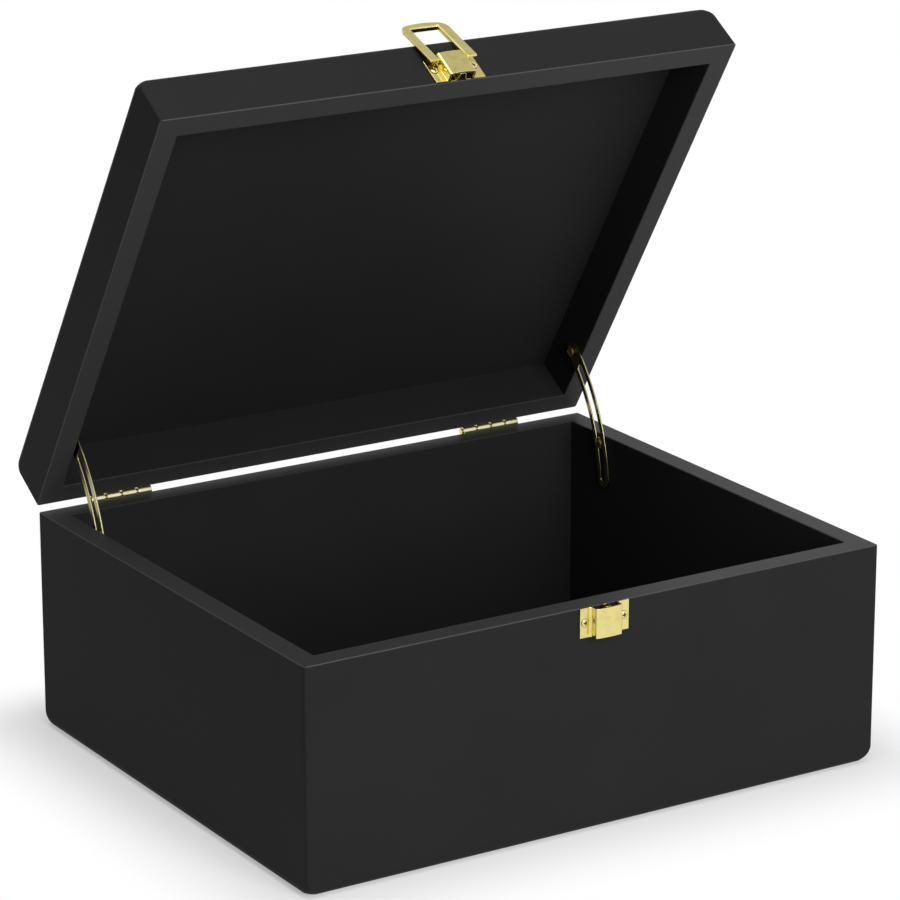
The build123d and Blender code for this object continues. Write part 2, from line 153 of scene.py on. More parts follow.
class Bench:
    """One material's or world's node tree, with the single method that makes its nodes."""

    def __init__(self, tree: bpy.types.NodeTree) -> None:
        """Starts from an empty tree."""
        self.tree = tree
        tree.nodes.clear()

    def node(self, kind: str, settings: dict | None = None, inputs: dict | None = None,
             output: int | str = 0) -> Wire | None:
        """Makes one node.

        Args:
            kind: The node's type.
            settings: Its own properties, set first.
            inputs: Values or wires for its sockets, by name or number.
            output: Which of its outputs to hand back.

        Returns:
            The chosen output, or None for a node that has none.
        """
        made = self.tree.nodes.new(kind)
        for name, value in (settings or {}).items():
            setattr(made, name, value)
        for key, value in (inputs or {}).items():
            if isinstance(value, Wire):
                self.tree.links.new(value.socket, made.inputs[key])
            else:
                made.inputs[key].default_value = value
        return Wire(self, made.outputs[output]) if made.outputs else None

    def place(self) -> Wire:
        """The point on the surface, in the object's own coordinates and metres."""
        return self.node("ShaderNodeTexCoord", output="Object")

    def noise(self, place: Wire, scale: float, detail: float = 2.0, rough: float = 0.5) -> Wire:
        """Soft cloudy noise around 0.5.

        Args:
            place: Where it is read.
            scale: Bumps per metre.
            detail: How many finer layers it has.
            rough: How strong the finer layers are.

        Returns:
            The noise's value.
        """
        return self.node("ShaderNodeTexNoise", {"noise_dimensions": "3D"},
                         {"Vector": place, "Scale": scale, "Detail": detail, "Roughness": rough})

    def stretched(self, place: Wire, along: tuple) -> Wire:
        """The point scaled by an amount along each axis, which stretches what is read there."""
        return self.node("ShaderNodeVectorMath", {"operation": "MULTIPLY"}, {0: place, 1: along})

    def height_over(self, place: Wire, point: Array, way: Array) -> Wire:
        """How far the surface's point is past a plane.

        Args:
            place: The surface's point.
            point: A point of the plane.
            way: The plane's unit normal.

        Returns:
            The distance along the normal, in metres.
        """
        dot = self.node("ShaderNodeVectorMath", {"operation": "DOT_PRODUCT"},
                        {0: place, 1: tuple(float(w) for w in way)}, "Value")
        return dot - float(point @ way)

    def blend(self, share: Value, first: Value, second: Value) -> Wire:
        """A colour between two colours.

        Args:
            share: 0 for the first colour, 1 for the second.
            first: The first colour.
            second: The second colour.

        Returns:
            The mixed colour.
        """
        return self.node("ShaderNodeMix", {"data_type": "RGBA"}, {0: share, 6: first, 7: second}, 2)

    def relief(self, strength: float, depth: float, main: Wire, second: Wire) -> Wire:
        """Bumps over two heights.

        Args:
            strength: The Bump node's strength.
            depth: How deep the bumps are, in metres.
            main: The height that gives six tenths.
            second: The height that gives the rest.

        Returns:
            The surface's normal.
        """
        return self.node("ShaderNodeBump", {}, {
            "Strength": strength, "Distance": depth, "Height": 0.6 * main + 0.4 * second}, "Normal")

    def principled(self, colour: Wire, gloss: Wire, normal: Wire, **plain: float) -> None:
        """Ends the tree in the main shader.

        Args:
            colour: The base colour.
            gloss: The roughness.
            normal: The surface's normal.
            plain: Further sockets and their values, with _ for a space.
        """
        sockets = {name.replace("_", " "): value for name, value in plain.items()}
        self.finish(self.node("ShaderNodeBsdfPrincipled", {}, {
            "Base Color": colour, "Roughness": gloss, "Normal": normal, **sockets}))

    def finish(self, shader: Wire, kind: str = "ShaderNodeOutputMaterial") -> None:
        """Joins a shader to the tree's output."""
        self.node(kind, {}, {"Surface": shader})


def rgba(colour: Colour) -> tuple[float, float, float, float]:
    """A colour with full opacity, as sockets take it."""
    return (*colour, 1.0)


def bare_material(name: str) -> tuple[bpy.types.Material, Bench]:
    """Starts a material.

    Args:
        name: Its name.

    Returns:
        The material and the bench that its nodes are made at.
    """
    made = bpy.data.materials.new(name)
    made.use_nodes = True
    return made, Bench(made.node_tree)


# ---- Finishes ----


@dataclass(frozen=True)
class Rim:
    """A board's rim: a point on it and the way it faces, and the same for the board's outer face, at rest."""

    point: Array
    way: Array
    face_point: Array
    face_way: Array


@dataclass(frozen=True)
class SatinPaint:
    """Sprayed black satin paint over sanded wood; painted highlights make the rims a shade paler and their
    outer edges paler still.
    """

    colour: Colour = (0.0165, 0.0165, 0.0168)
    rim_highlight: Colour = (0.0350, 0.0350, 0.0355)
    edge_highlight: Colour = (0.0980, 0.0980, 0.0990)
    rim_highlight_band: Pair = (0.0001, 0.0009)
    edge_highlight_band: Pair = (0.0003, 0.00045)
    sheen_level: float = 0.05
    roughness: float = 0.53
    cloud_gloss: float = 0.06
    strand_gloss: float = 0.04
    rim_polish: float = 0.18
    mottle: float = 0.10
    clouds_per_metre: float = 24.0
    spray_per_metre: float = 620.0
    strands_per_metre: float = 760.0
    bump: float = 0.35
    relief: float = 0.00004

    def material(self, name: str, grain: tuple, rim: Rim | None = None) -> bpy.types.Material:
        """Makes the paint for one board.

        Args:
            name: The material's name.
            grain: How much the wood's grain is shortened along each axis.
            rim: The rim that the board has, if any.

        Returns:
            The material.
        """
        made, bench = bare_material(name)
        place = bench.place()
        cloud = bench.noise(place, self.clouds_per_metre, detail=3.0)
        spray = bench.noise(place, self.spray_per_metre)
        strands = bench.noise(bench.stretched(place, grain), self.strands_per_metre, detail=3.0, rough=0.6)
        tone = 1.0 - self.mottle + 2 * self.mottle * cloud
        # Half the tone of the way from black to twice the colour is the colour times the tone.
        colour = bench.blend(tone * 0.5, rgba((0.0, 0.0, 0.0)), rgba(tuple(2 * c for c in self.colour)))
        gloss = self.roughness + self.cloud_gloss * cloud + self.strand_gloss * strands
        if rim is not None:
            under = bench.height_over(place, rim.point, -rim.way)
            inside = bench.height_over(place, rim.face_point, -rim.face_way)
            # Painted highlights: the rim is lightened in a band under its plane, and a brighter line is
            # painted where it meets the outer face.
            near = 1.0 - under.faded(*self.rim_highlight_band)
            edge = 1.0 - (under + inside).faded(*self.edge_highlight_band)
            colour = bench.blend(near, colour, rgba(self.rim_highlight))
            colour = bench.blend(edge, colour, rgba(self.edge_highlight))
            gloss = gloss - self.rim_polish * near
        bench.principled(colour, gloss, bench.relief(self.bump, self.relief, spray, strands),
                         Specular_IOR_Level=self.sheen_level)
        return made


@dataclass(frozen=True)
class PolishedBrass:
    """Bright-dipped, polished brass sheet with fine rub lines and a faint warm tarnish."""

    colour: Colour = (0.82, 0.72, 0.29)
    tarnish: Colour = (0.66, 0.52, 0.12)
    roughness: float = 0.10
    # Painted shade: the deep brown that screws darken to in their recesses, at their head rims and below
    # their heads.
    painted_shade: Colour = (0.085, 0.050, 0.018)
    painted_shade_gloss: float = 0.35
    stained: Pair = (0.42, 0.78)
    stain: float = 0.55
    clouds_per_metre: float = 210.0
    lines_per_metre: float = 5200.0
    rub: tuple = (1.0, 1.0, 0.06)
    spread: float = 0.05
    bump: float = 0.25
    relief: float = 0.00001

    def material(self, name: str, with_painted_shade: bool = False) -> bpy.types.Material:
        """Makes the brass.

        Args:
            name: The material's name.
            with_painted_shade: Whether its colour darkens to a painted shade, and its roughness rises, where
                its piece's shade attribute is high.

        Returns:
            The material.
        """
        made, bench = bare_material(name)
        place = bench.place()
        cloud = bench.noise(place, self.clouds_per_metre, detail=3.0)
        lines = bench.noise(bench.stretched(place, self.rub), self.lines_per_metre, rough=0.6)
        colour = bench.blend(cloud.faded(*self.stained) * self.stain, rgba(self.colour), rgba(self.tarnish))
        gloss = self.roughness + self.spread * cloud + self.spread * lines
        if with_painted_shade:
            # Painted shade: where the piece's shade attribute is high, the brass darkens towards a deep brown
            # and grows rougher.
            shaded = bench.node("ShaderNodeAttribute", {"attribute_name": "painted_shade"}, output="Fac")
            colour = bench.blend(shaded, colour, rgba(self.painted_shade))
            gloss = gloss + self.painted_shade_gloss * shaded
        bench.principled(colour, gloss, bench.relief(self.bump, self.relief, lines, cloud), Metallic=1.0)
        return made


# ---- Surfaces ----


@dataclass(frozen=True)
class Outline:
    """A line in a plane with straight runs and rounded corners, and its left-hand normal at each point."""

    points: Array
    left: Array

    @classmethod
    def rounded(cls, corners: list[Pair], radii: list[float], steps: int = 6) -> "Outline":
        """Rounds the inner corners of an open line.

        At each corner the arc starts radius * tan(half the turn) before it, and its centre stands off
        the run by the radius, to the side that the line turns to. Where there is no turn, the points lie
        evenly over a radius to each side.

        Args:
            corners: The line's ends and corners, in millimetres.
            radii: One radius for each inner corner.
            steps: Pieces in each arc.

        Returns:
            The rounded line.
        """
        spots = np.array(corners, float)
        runs = np.diff(spots, axis=0)
        runs /= np.linalg.norm(runs, axis=1)[:, None]
        lefts = np.stack([-runs[:, 1], runs[:, 0]], axis=1)
        parts, sides = [spots[:1]], [lefts[:1]]
        for number, radius in enumerate(radii):
            before, after = runs[number], runs[number + 1]
            turn = math.atan2(before[0] * after[1] - before[1] * after[0], float(before @ after))
            if abs(turn) < 1e-6:
                spread = np.linspace(-radius, radius, steps + 1)[:, None]
                parts.append(spots[number + 1] + spread * before)
                sides.append(np.broadcast_to(lefts[number], (steps + 1, 2)))
                continue
            start = spots[number + 1] - before * radius * math.tan(abs(turn) / 2)
            hand = math.copysign(1.0, turn)
            centre = start + hand * radius * lefts[number]
            angles = np.linspace(0.0, turn, steps + 1)[:, None]
            side = np.cos(angles) * lefts[number] + np.sin(angles) * -before
            parts.append(centre - hand * radius * side)
            sides.append(side)
        return cls(np.concatenate([*parts, spots[-1:]]), np.concatenate([*sides, lefts[-1:]]))

    @classmethod
    def arched_slot(cls, centre: Array, radius: float, low: float, high: float, half_width: float,
                    steps: int = 32) -> "Outline":
        """The rim of a round-ended strip that lies along an arc, run with its inside to the left.

        The long sides are arcs of radius plus and minus the half width, and each end is half a circle.

        Args:
            centre: The arc's centre, in millimetres.
            radius: The arc's radius.
            low: Bearing of one end's middle, in radians.
            high: Bearing of the other end's middle, which is larger.
            half_width: Half the strip's width.
            steps: Points on each long side.

        Returns:
            The closed rim.
        """
        out, half_turn = np.linspace(low, high, steps), np.linspace(0.0, math.pi, 14)[1:-1]
        far, near = (centre + radius * np.array([math.cos(end), math.sin(end)]) for end in (high, low))
        runs = [(out, centre, radius + half_width, -1.0), (high + half_turn, far, half_width, -1.0),
                (out[::-1], centre, radius - half_width, 1.0),
                (low + math.pi + half_turn, near, half_width, -1.0)]
        spokes = [np.column_stack([np.cos(bearing), np.sin(bearing)]) for bearing, _, _, _ in runs]
        points = [middle + reach * spoke for spoke, (_, middle, reach, _) in zip(spokes, runs)]
        return cls(np.concatenate(points),
                   np.concatenate([hand * spoke for spoke, (_, _, _, hand) in zip(spokes, runs)]))

    def ring(self) -> "Outline":
        """The same line without its last point, where it comes back to its first."""
        return Outline(self.points[:-1], self.left[:-1])

    def headings(self) -> Array:
        """The unit direction of travel at each point, which is the left normal turned to the right."""
        return np.stack([self.left[:, 1], -self.left[:, 0]], axis=1)


@dataclass
class Shell:
    """A closed surface in millimetres: points, the way it faces and the painted shade at each, and its faces.
    """

    points: Array
    normals: Array
    faces: list[tuple[int, ...]]
    painted_shade: Array | None = None

    @classmethod
    def joined(cls, shells: list["Shell"]) -> "Shell":
        """Several surfaces as one, their face numbers shifted past the points before them.

        Args:
            shells: The surfaces, which all have painted shade or all have none.

        Returns:
            The one surface.
        """
        starts = np.cumsum([0] + [len(shell.points) for shell in shells])
        faces = [tuple(int(start) + corner for corner in face)
                 for start, shell in zip(starts, shells) for face in shell.faces]
        painted_shade = None if shells[0].painted_shade is None else np.concatenate([shell.painted_shade for shell in shells])
        points, normals = (np.concatenate(parts) for parts in zip(*((s.points, s.normals) for s in shells)))
        return cls(points, normals, faces, painted_shade)

    def welded(self) -> "Shell":
        """Makes points that coincide one.

        Returns:
            A surface without the spare points and the faces that vanish.
        """
        keys = np.round(self.points, 5)
        _, first, number = np.unique(keys, axis=0, return_index=True, return_inverse=True)
        number = number.reshape(-1)
        faces = []
        for face in self.faces:
            corners = [int(number[corner]) for corner in face]
            kept = [corner for place, corner in enumerate(corners) if corner != corners[place - 1]]
            if len(set(kept)) > 2:
                faces.append(tuple(kept))
        return Shell(self.points[first], self.normals[first], faces)

    def facing_out(self) -> "Shell":
        """Turns the faces outwards, where the volume that they hold comes out above 0.

        The volume is summed as tetrahedra from the points' mean.

        Returns:
            The same surface.
        """
        fans = np.array([(face[0], *pair) for face in self.faces for pair in zip(face[1:], face[2:])])
        a, b, c = (self.points[fans[:, k]] - self.points.mean(axis=0) for k in range(3))
        if float(np.einsum("ij,ij->", a, np.cross(b, c))) < 0:
            self.faces = [tuple(reversed(face)) for face in self.faces]
        return self


def woven(rows: int, columns: int, rows_meet: bool) -> list[tuple[int, ...]]:
    """The quads of a grid of points whose last column joins its first.

    Args:
        rows: Number of rows of points.
        columns: Number of points in a row.
        rows_meet: Whether the last row joins the first.

    Returns:
        Four corner numbers for each quad.
    """
    i = np.arange(rows if rows_meet else rows - 1)[:, None]
    j = np.arange(columns)[None, :]
    here, on = i * columns, ((i + 1) % rows) * columns
    ahead = (j + 1) % columns
    quads = np.stack(np.broadcast_arrays(here + j, here + ahead, on + ahead, on + j), axis=-1)
    return [tuple(quad) for quad in quads.reshape(-1, 4).tolist()]


def capped(rows: int, columns: int) -> list[tuple[int, ...]]:
    """The faces that close a grid's first and last rows, wound to match its quads."""
    return [tuple(reversed(range(columns))), tuple(range((rows - 1) * columns, rows * columns))]


@dataclass(frozen=True)
class SectionCorner:
    """One rounded corner of a bar's section, all along the bar; a hollow corner has a negative radius."""

    centres: Array
    radius: float
    starts: Array
    ends: Array


def swept_bar(corners: list[SectionCorner], ease: float, headings: Array | None, steps: int = 3) -> Shell:
    """A bar whose section runs round a list of rounded corners with straight runs between them.

    Round each corner the surface is centre + radius * (cos t * start + sin t * end), with t from 0 to a
    quarter turn. At an open end the surface draws in by ease * (1 - cos t) as it moves on by ease * sin t.

    Args:
        corners: The section's corners in order.
        ease: Radius of the easing at an open end.
        headings: Direction of travel at each point, n x 3, or None where the bar runs round in a ring.
        steps: Pieces in each quarter turn.

    Returns:
        The bar.
    """
    turn = np.linspace(0.0, math.pi / 2, steps + 1)[:, None, None]
    ways = np.concatenate([np.cos(turn) * c.starts + np.sin(turn) * c.ends for c in corners])
    centres = np.concatenate([np.repeat(c.centres[None], steps + 1, axis=0) for c in corners])
    ways, centres = ways.transpose(1, 0, 2), centres.transpose(1, 0, 2)
    radii = np.repeat([c.radius for c in corners], steps + 1)[None, :, None]
    points = centres + radii * ways
    if headings is not None:
        tilt = np.linspace(math.pi / 2, 0.0, steps + 1)[:, None, None]
        inward, onward = ease * (1 - np.cos(tilt)), ease * (1 - np.sin(tilt))
        first = points[:1] - inward * ways[:1] + onward * headings[0]
        last = (points[-1:] - inward * ways[-1:] - onward * headings[-1])[::-1]
        opening = ways[:1] * np.cos(tilt) - headings[0] * np.sin(tilt)
        closing = (ways[-1:] * np.cos(tilt) + headings[-1] * np.sin(tilt))[::-1]
        points = np.concatenate([first, points[1:-1], last])
        ways = np.concatenate([opening, ways[1:-1], closing])
    rows, columns = points.shape[:2]
    faces = woven(rows, columns, headings is None)
    if headings is not None:
        faces += capped(rows, columns)
    return Shell(points.reshape(-1, 3), ways.reshape(-1, 3), faces).welded().facing_out()


def eased_section(centres: list[Array], ways: list[Array], ease: float) -> list[SectionCorner]:
    """A square section's corners, each rounded from its own side's way to the next side's."""
    return [SectionCorner(centre, ease, ways[number], ways[(number + 1) % len(ways)])
            for number, centre in enumerate(centres)]


def lifted(flat: Array, height: float | Array = 0.0) -> Array:
    """Points of a plane as points in space, at a height over it."""
    return np.column_stack([flat, np.broadcast_to(height, len(flat))])


def bent_strip(path: Outline, thickness: float, low: float, high: float, ease: float,
               ring: bool = False) -> Shell:
    """Sheet metal bent along a path in the XY plane and standing from one height to another.

    Args:
        path: The sheet's middle line.
        thickness: The sheet's thickness.
        low: Height of its lower edge.
        high: Height of its upper edge.
        ease: Radius of its eased edges.
        ring: Whether the path comes back to its start.

    Returns:
        The strip.
    """
    side = lifted(path.left)
    ups = np.broadcast_to(UP, side.shape)
    half = (thickness / 2 - ease) * side
    upper, lower = lifted(path.points, high - ease), lifted(path.points, low + ease)
    corners = eased_section([upper + half, upper - half, lower - half, lower + half],
                            [side, ups, -side, -ups], ease)
    return swept_bar(corners, ease, None if ring else lifted(path.headings()))


def windowed_plate(outer: Outline, inner: Outline, thickness: float, ease: float) -> Shell:
    """A flat ring in the XY plane between an outer and an inner edge with matching points.

    Args:
        outer: The outer edge; the plate lies to its left.
        inner: The inner edge, running the same way; the plate lies to its right.
        thickness: The plate's thickness, half to each side of the plane.
        ease: Radius of its eased edges.

    Returns:
        The plate.
    """
    out, into = -lifted(outer.left), lifted(inner.left)
    ups = np.broadcast_to(UP, out.shape)
    half = (thickness / 2 - ease) * ups
    at_outer, at_inner = lifted(outer.points) - ease * out, lifted(inner.points) - ease * into
    corners = eased_section([at_outer + half, at_inner + half, at_inner - half, at_outer - half],
                            [out, ups, into, -ups], ease)
    return swept_bar(corners, ease, None)


def folded_frame(outer: Outline, inner: Outline, sheet: float, depths: Array, bend: float,
                 ease: float) -> Shell:
    """Sheet metal whose face is the XY plane, folded down square all along its inner edge.

    The section's corners are the face's outer edge, the fold, the fold's two lower edges, the hollow
    behind the fold and the back's outer edge.

    Args:
        outer: The outer edge; the sheet lies to its left.
        inner: The outside of the fold, running the same way with matching points.
        sheet: The sheet's thickness.
        depths: How far the fold reaches down from the face at each point.
        bend: Outer radius of the fold.
        ease: Radius of the eased edges.

    Returns:
        The folded sheet, its ends open and eased.
    """
    out, into = -lifted(outer.left), lifted(inner.left)
    up = np.broadcast_to(UP, out.shape)
    at_outer, at_inner = lifted(outer.points) - ease * out, lifted(inner.points)
    low = (depths[:, None] - ease) * up
    hollow = sheet + ease
    corners = [SectionCorner(at_outer - ease * up, ease, out, up),
               SectionCorner(at_inner - bend * (into + up), bend, up, into),
               SectionCorner(at_inner - ease * into - low, ease, into, -up),
               SectionCorner(at_inner - (sheet - ease) * into - low, ease, -up, -into),
               SectionCorner(at_inner - hollow * (into + up), -ease, -into, -up),
               SectionCorner(at_outer - (sheet - ease) * up, ease, -up, out)]
    return swept_bar(corners, ease, lifted(outer.headings()), steps=5)


def slab(edge: Outline, thickness: float, ease: float, steps: int = 3) -> Shell:
    """A flat plate in the XY plane inside a closed edge.

    Its rim is core + ease * (sin t * outwards + cos t * up), with t from 0 to a half turn.

    Args:
        edge: The closed edge; the plate lies to its left.
        thickness: The plate's thickness, half to each side of the plane.
        ease: Radius of its eased edges.
        steps: Pieces in each quarter turn.

    Returns:
        The plate.
    """
    quarter = np.linspace(0.0, math.pi / 2, steps + 1)
    turn = np.concatenate([quarter, math.pi / 2 + quarter])[:, None, None]
    out = -lifted(edge.left)[None]
    around = np.sin(turn) * out + np.cos(turn) * UP
    half = (thickness / 2 - ease) * np.repeat([1.0, -1.0], steps + 1)[:, None, None]
    points = lifted(edge.points)[None] - ease * out + half * UP + ease * around
    rows, columns = points.shape[:2]
    faces = woven(rows, columns, False) + capped(rows, columns)
    return Shell(points.reshape(-1, 3), around.reshape(-1, 3), faces).facing_out()


def turned(profile: list[Pair], segments: int = 40) -> Shell:
    """A piece turned about +Z: each profile point (radius, height) is carried round in a circle.

    Args:
        profile: The outline from the axis at the top to the axis at the bottom, without the axis points.
        segments: Points round the circle.

    Returns:
        The piece, closed by flat faces at its two ends.
    """
    radius, height = np.array(profile, float).T
    bearing = np.linspace(0.0, 2 * math.pi, segments, endpoint=False)
    points = np.stack([radius[:, None] * np.cos(bearing), radius[:, None] * np.sin(bearing),
                       np.broadcast_to(height[:, None], (len(radius), segments))], axis=-1)
    faces = woven(len(radius), segments, False) + capped(len(radius), segments)
    flat = points.reshape(-1, 3)
    return Shell(flat, np.zeros_like(flat), faces).facing_out()


# ---- Places ----


@dataclass(frozen=True)
class Placing:
    """A place for a piece: where its origin goes and where its own axes point, in the row frame."""

    origin: Array
    axes: Array

    @classmethod
    def at(cls, origin: Place, across: Place, outward: Place) -> "Placing":
        """A place from its origin, the way of its X axis and the way of its Z axis."""
        x, z = np.array(across, float), np.array(outward, float)
        return cls(np.array(origin, float), np.stack([x, np.cross(z, x), z]))

    @classmethod
    def pair(cls, middle: Place, spacing: float, outward: float) -> list["Placing"]:
        """Two places side by side along X, their Z axes along Y.

        Args:
            middle: The point half-way between them.
            spacing: How far apart they are.
            outward: 1 where Z points to the back, -1 where it points to the front.

        Returns:
            The two places.
        """
        x, y, z = middle
        return [cls.at((x + side.value * spacing / 2, y, z), (1, 0, 0), (0, outward, 0)) for side in Side]

    def carry(self, shell: Shell) -> Shell:
        """The piece moved to this place: origin + x * X + y * Y + z * Z."""
        return replace(shell, points=self.origin + shell.points @ self.axes,
                       normals=shell.normals @ self.axes).facing_out()


@dataclass(frozen=True)
class LidSwing:
    """The lid's movement about its hinges, in millimetres and degrees."""

    axis_y: float
    axis_z: float
    rest_angle: float

    def turn(self, shell: Shell, angle: float, y: float, z: float) -> Shell:
        """Turns a piece backwards about a line along X.

        The turn is y' = y cos a + z sin a and z' = z cos a - y sin a, from the line.

        Args:
            shell: The piece.
            angle: Degrees of turn that lift what is in front of the line.
            y: The line's place along Y.
            z: The line's height.

        Returns:
            The turned piece.
        """
        c, s = math.cos(math.radians(angle)), math.sin(math.radians(angle))
        matrix = np.array([[1.0, 0.0, 0.0], [0.0, c, s], [0.0, -s, c]])
        pivot = np.array([0.0, y, z])
        return replace(shell, points=(shell.points - pivot) @ matrix.T + pivot,
                       normals=shell.normals @ matrix.T)

    def opened(self, shell: Shell) -> Shell:
        """A shut-lid piece where it stands at rest."""
        return self.turn(shell, self.rest_angle, self.axis_y, self.axis_z)


@dataclass(frozen=True)
class Finish:
    """A material and the record's finish that it stands for."""

    material: bpy.types.Material
    slot: Slot


@dataclass(frozen=True)
class Workshop:
    """Turns finished surfaces into objects that ride on the frame, in one of the brass finishes."""

    sheet: Finish
    stays: Finish
    hinges: Finish
    screws: Finish
    crease: float = 32.0

    def add(self, name: str, shell: Shell, finish: Finish, body: Body, *nodes: str) -> None:
        """Makes one piece.

        Args:
            name: The piece's name.
            shell: Its surface, in millimetres.
            finish: Its finish.
            body: The body that it rides on.
            nodes: The CAD nodes that it stands for.
        """
        mesh = bpy.data.meshes.new(name)
        mesh.from_pydata((shell.points * MM).tolist(), [], shell.faces)
        mesh.update()
        mesh.shade_smooth()
        if np.abs(shell.normals).max() > 0:
            mesh.normals_split_custom_set_from_vertices(shell.normals.tolist())
        else:
            mesh.set_sharp_from_angle(angle=math.radians(self.crease))
        # Painted shade goes on the mesh as a point attribute, for the brass to read.
        if shell.painted_shade is not None:
            painted_shade = mesh.attributes.new("painted_shade", "FLOAT", "POINT")
            painted_shade.data.foreach_set("value", shell.painted_shade.astype(np.float32))
        mesh.materials.append(finish.material)
        piece = bpy.data.objects.new(name, mesh)
        bpy.context.scene.collection.objects.link(piece)
        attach(piece, body.value)
        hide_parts(*nodes)
        log.info("%s: %d points, %d faces, on %s", name, len(mesh.vertices), len(mesh.polygons), body.value)

    def dress(self, node: str, material: bpy.types.Material) -> None:
        """Gives a CAD node a finish in place of its plain one.

        Args:
            node: The node.
            material: Its finish.
        """
        slots = frame["nodes"][node].data.materials
        slots.clear()
        slots.append(material)
        log.info("%s: dressed in %s", node, material.name)


# ---- Fasteners ----


@dataclass(frozen=True)
class CrossHeadScrew:
    """A domed wood screw with a cross recess, in millimetres, its head's underside at the origin.

    Each step of the taper is a share of the shank's radius and a share of the way to its tip.
    """

    head_radius: float
    head_height: float
    shank_radius: float
    shank_length: float
    collar: float = 0.0
    recess_share: float = 0.58
    recess_width: float = 0.62
    recess_depth: float = 0.5
    recess_wall: float = 0.12
    recess_taper: float = 0.45
    rim_share: float = 0.35
    painted_shade_share: float = 0.84
    under_head: float = -0.02
    taper: tuple[Pair, ...] = ((1.0, 0.55), (0.72, 0.85), (0.12, 1.0))
    grid: int = 45

    def shell(self) -> Shell:
        """The screw.

        The head is a square grid pressed into a disc, x = R u sqrt(1 - v*v/2) and y the same with u and v
        swapped. Its height is a spherical cap less the cross, which is deepest at the middle. Below it the
        grid's border is carried down as rings to the shank's point.

        Painted shade lies in the cross and thickens towards the head's rim, and everything below the head is
        fully shaded.

        Returns:
            The screw's surface.
        """
        u, v = np.meshgrid(np.linspace(-1, 1, self.grid), np.linspace(-1, 1, self.grid), indexing="ij")
        x = self.head_radius * u * np.sqrt(1 - v * v / 2)
        y = self.head_radius * v * np.sqrt(1 - u * u / 2)
        rim = self.rim_share * self.head_height
        dome = self.head_height - rim
        ball = (self.head_radius ** 2 + dome ** 2) / (2 * dome)
        z = self.head_height - ball + np.sqrt(ball ** 2 - x * x - y * y)
        reach = self.recess_share * self.head_radius
        cross = np.maximum(self._blade(x, y, reach), self._blade(y, x, reach))
        z = z - self.recess_depth * cross
        outward = np.hypot(x, y) / self.head_radius
        rim_painted_shade = np.clip((outward - self.painted_shade_share) / (1 - self.painted_shade_share), 0, 1)
        top = np.stack([x, y, z], axis=-1).reshape(-1, 3)
        n = self.grid
        number = np.arange(n * n).reshape(n, n)
        quads = np.stack([number[:-1, :-1], number[:-1, 1:], number[1:, 1:], number[1:, :-1]], axis=-1)
        border = np.concatenate([number[0, :-1], number[:-1, -1], number[-1, :0:-1], number[:0:-1, 0]])
        edge = top[border, :2] / self.head_radius
        tip = -self.shank_length - self.collar
        rings = [(self.head_radius, 0.0), (self.shank_radius, self.under_head),
                 *((share * self.shank_radius, way * tip) for share, way in self.taper)]
        lower = [np.column_stack([radius * edge, np.full(len(edge), height)]) for radius, height in rings]
        points = np.concatenate([top, *lower])
        # Painted shade: 1 on everything below the head, and on the head in the cross and towards its rim.
        painted_shade = np.ones(len(points))
        painted_shade[:n * n] = np.maximum(np.clip(2 * cross, 0, 1), rim_painted_shade).reshape(-1)
        loops = [border] + [n * n + k * len(border) + np.arange(len(border)) for k in range(len(rings))]
        skirts = [np.stack([a, b, np.roll(b, -1), np.roll(a, -1)], axis=-1)
                  for a, b in zip(loops, loops[1:])]
        faces = [tuple(q) for q in np.concatenate([quads.reshape(-1, 4), *skirts]).tolist()]
        faces.append(tuple(loops[-1][::-1].tolist()))
        return Shell(points, np.zeros_like(points), faces, painted_shade).facing_out()

    def _blade(self, along: Array, across: Array, reach: float) -> Array:
        """One arm pair of the cross: 1 at its middle, 0 outside, with sloping walls and shallower ends.

        Args:
            along: Distance along the arms.
            across: Distance across them.
            reach: Half the arms' length.

        Returns:
            How deep the recess is at each point, from 0 to 1.
        """
        along, across = np.abs(along), np.abs(across)
        length = np.clip((reach - along) / (3 * self.recess_wall), 0, 1)
        width = np.clip((self.recess_width / 2 - across) / self.recess_wall + 0.5, 0, 1)
        return length * width * (1 - self.recess_taper * along / reach)

    def set_in(self, places: list[Placing]) -> Shell:
        """One screw at each place, as one surface."""
        screw = self.shell()
        return Shell.joined([place.carry(screw) for place in places])


SMALL_SCREW = CrossHeadScrew(head_radius=2.1, head_height=0.7, shank_radius=1.1, shank_length=8.0)


# ---- The latch ----


@dataclass(frozen=True)
class HoodedPlate:
    """A bent brass plate on the front: two flat flanges and a crowned hood between them."""

    low: float
    height: float
    proud: float
    fold: float
    width: float = 28.0
    hood_width: float = 15.2
    sheet: float = 1.2
    bend: float = 1.3
    peak: float = 0.6
    peak_radius: float = 50.0
    ease: float = 0.2

    def shell(self, front: float) -> Shell:
        """The plate against a board's front face.

        Args:
            front: The board's face, along Y.

        Returns:
            The plate, with the lid shut.
        """
        flange = front - self.sheet / 2
        side = (self.hood_width - self.sheet) / 2
        slope = math.atan2(self.peak, side)
        peak = front - self.proud + self.sheet / 2 - self.peak_radius * (1 / math.cos(slope) - 1)
        corner, edge = peak + self.peak, self.width / 2
        path = Outline.rounded(
            [(-edge, flange), (-side, flange), (-side, corner), (0, peak), (side, corner), (side, flange),
             (edge, flange)],
            [self.fold + self.sheet / 2, self.bend - self.sheet / 2, self.peak_radius,
             self.bend - self.sheet / 2, self.fold + self.sheet / 2], steps=8)
        return bent_strip(path, self.sheet, self.low, self.low + self.height, self.ease)


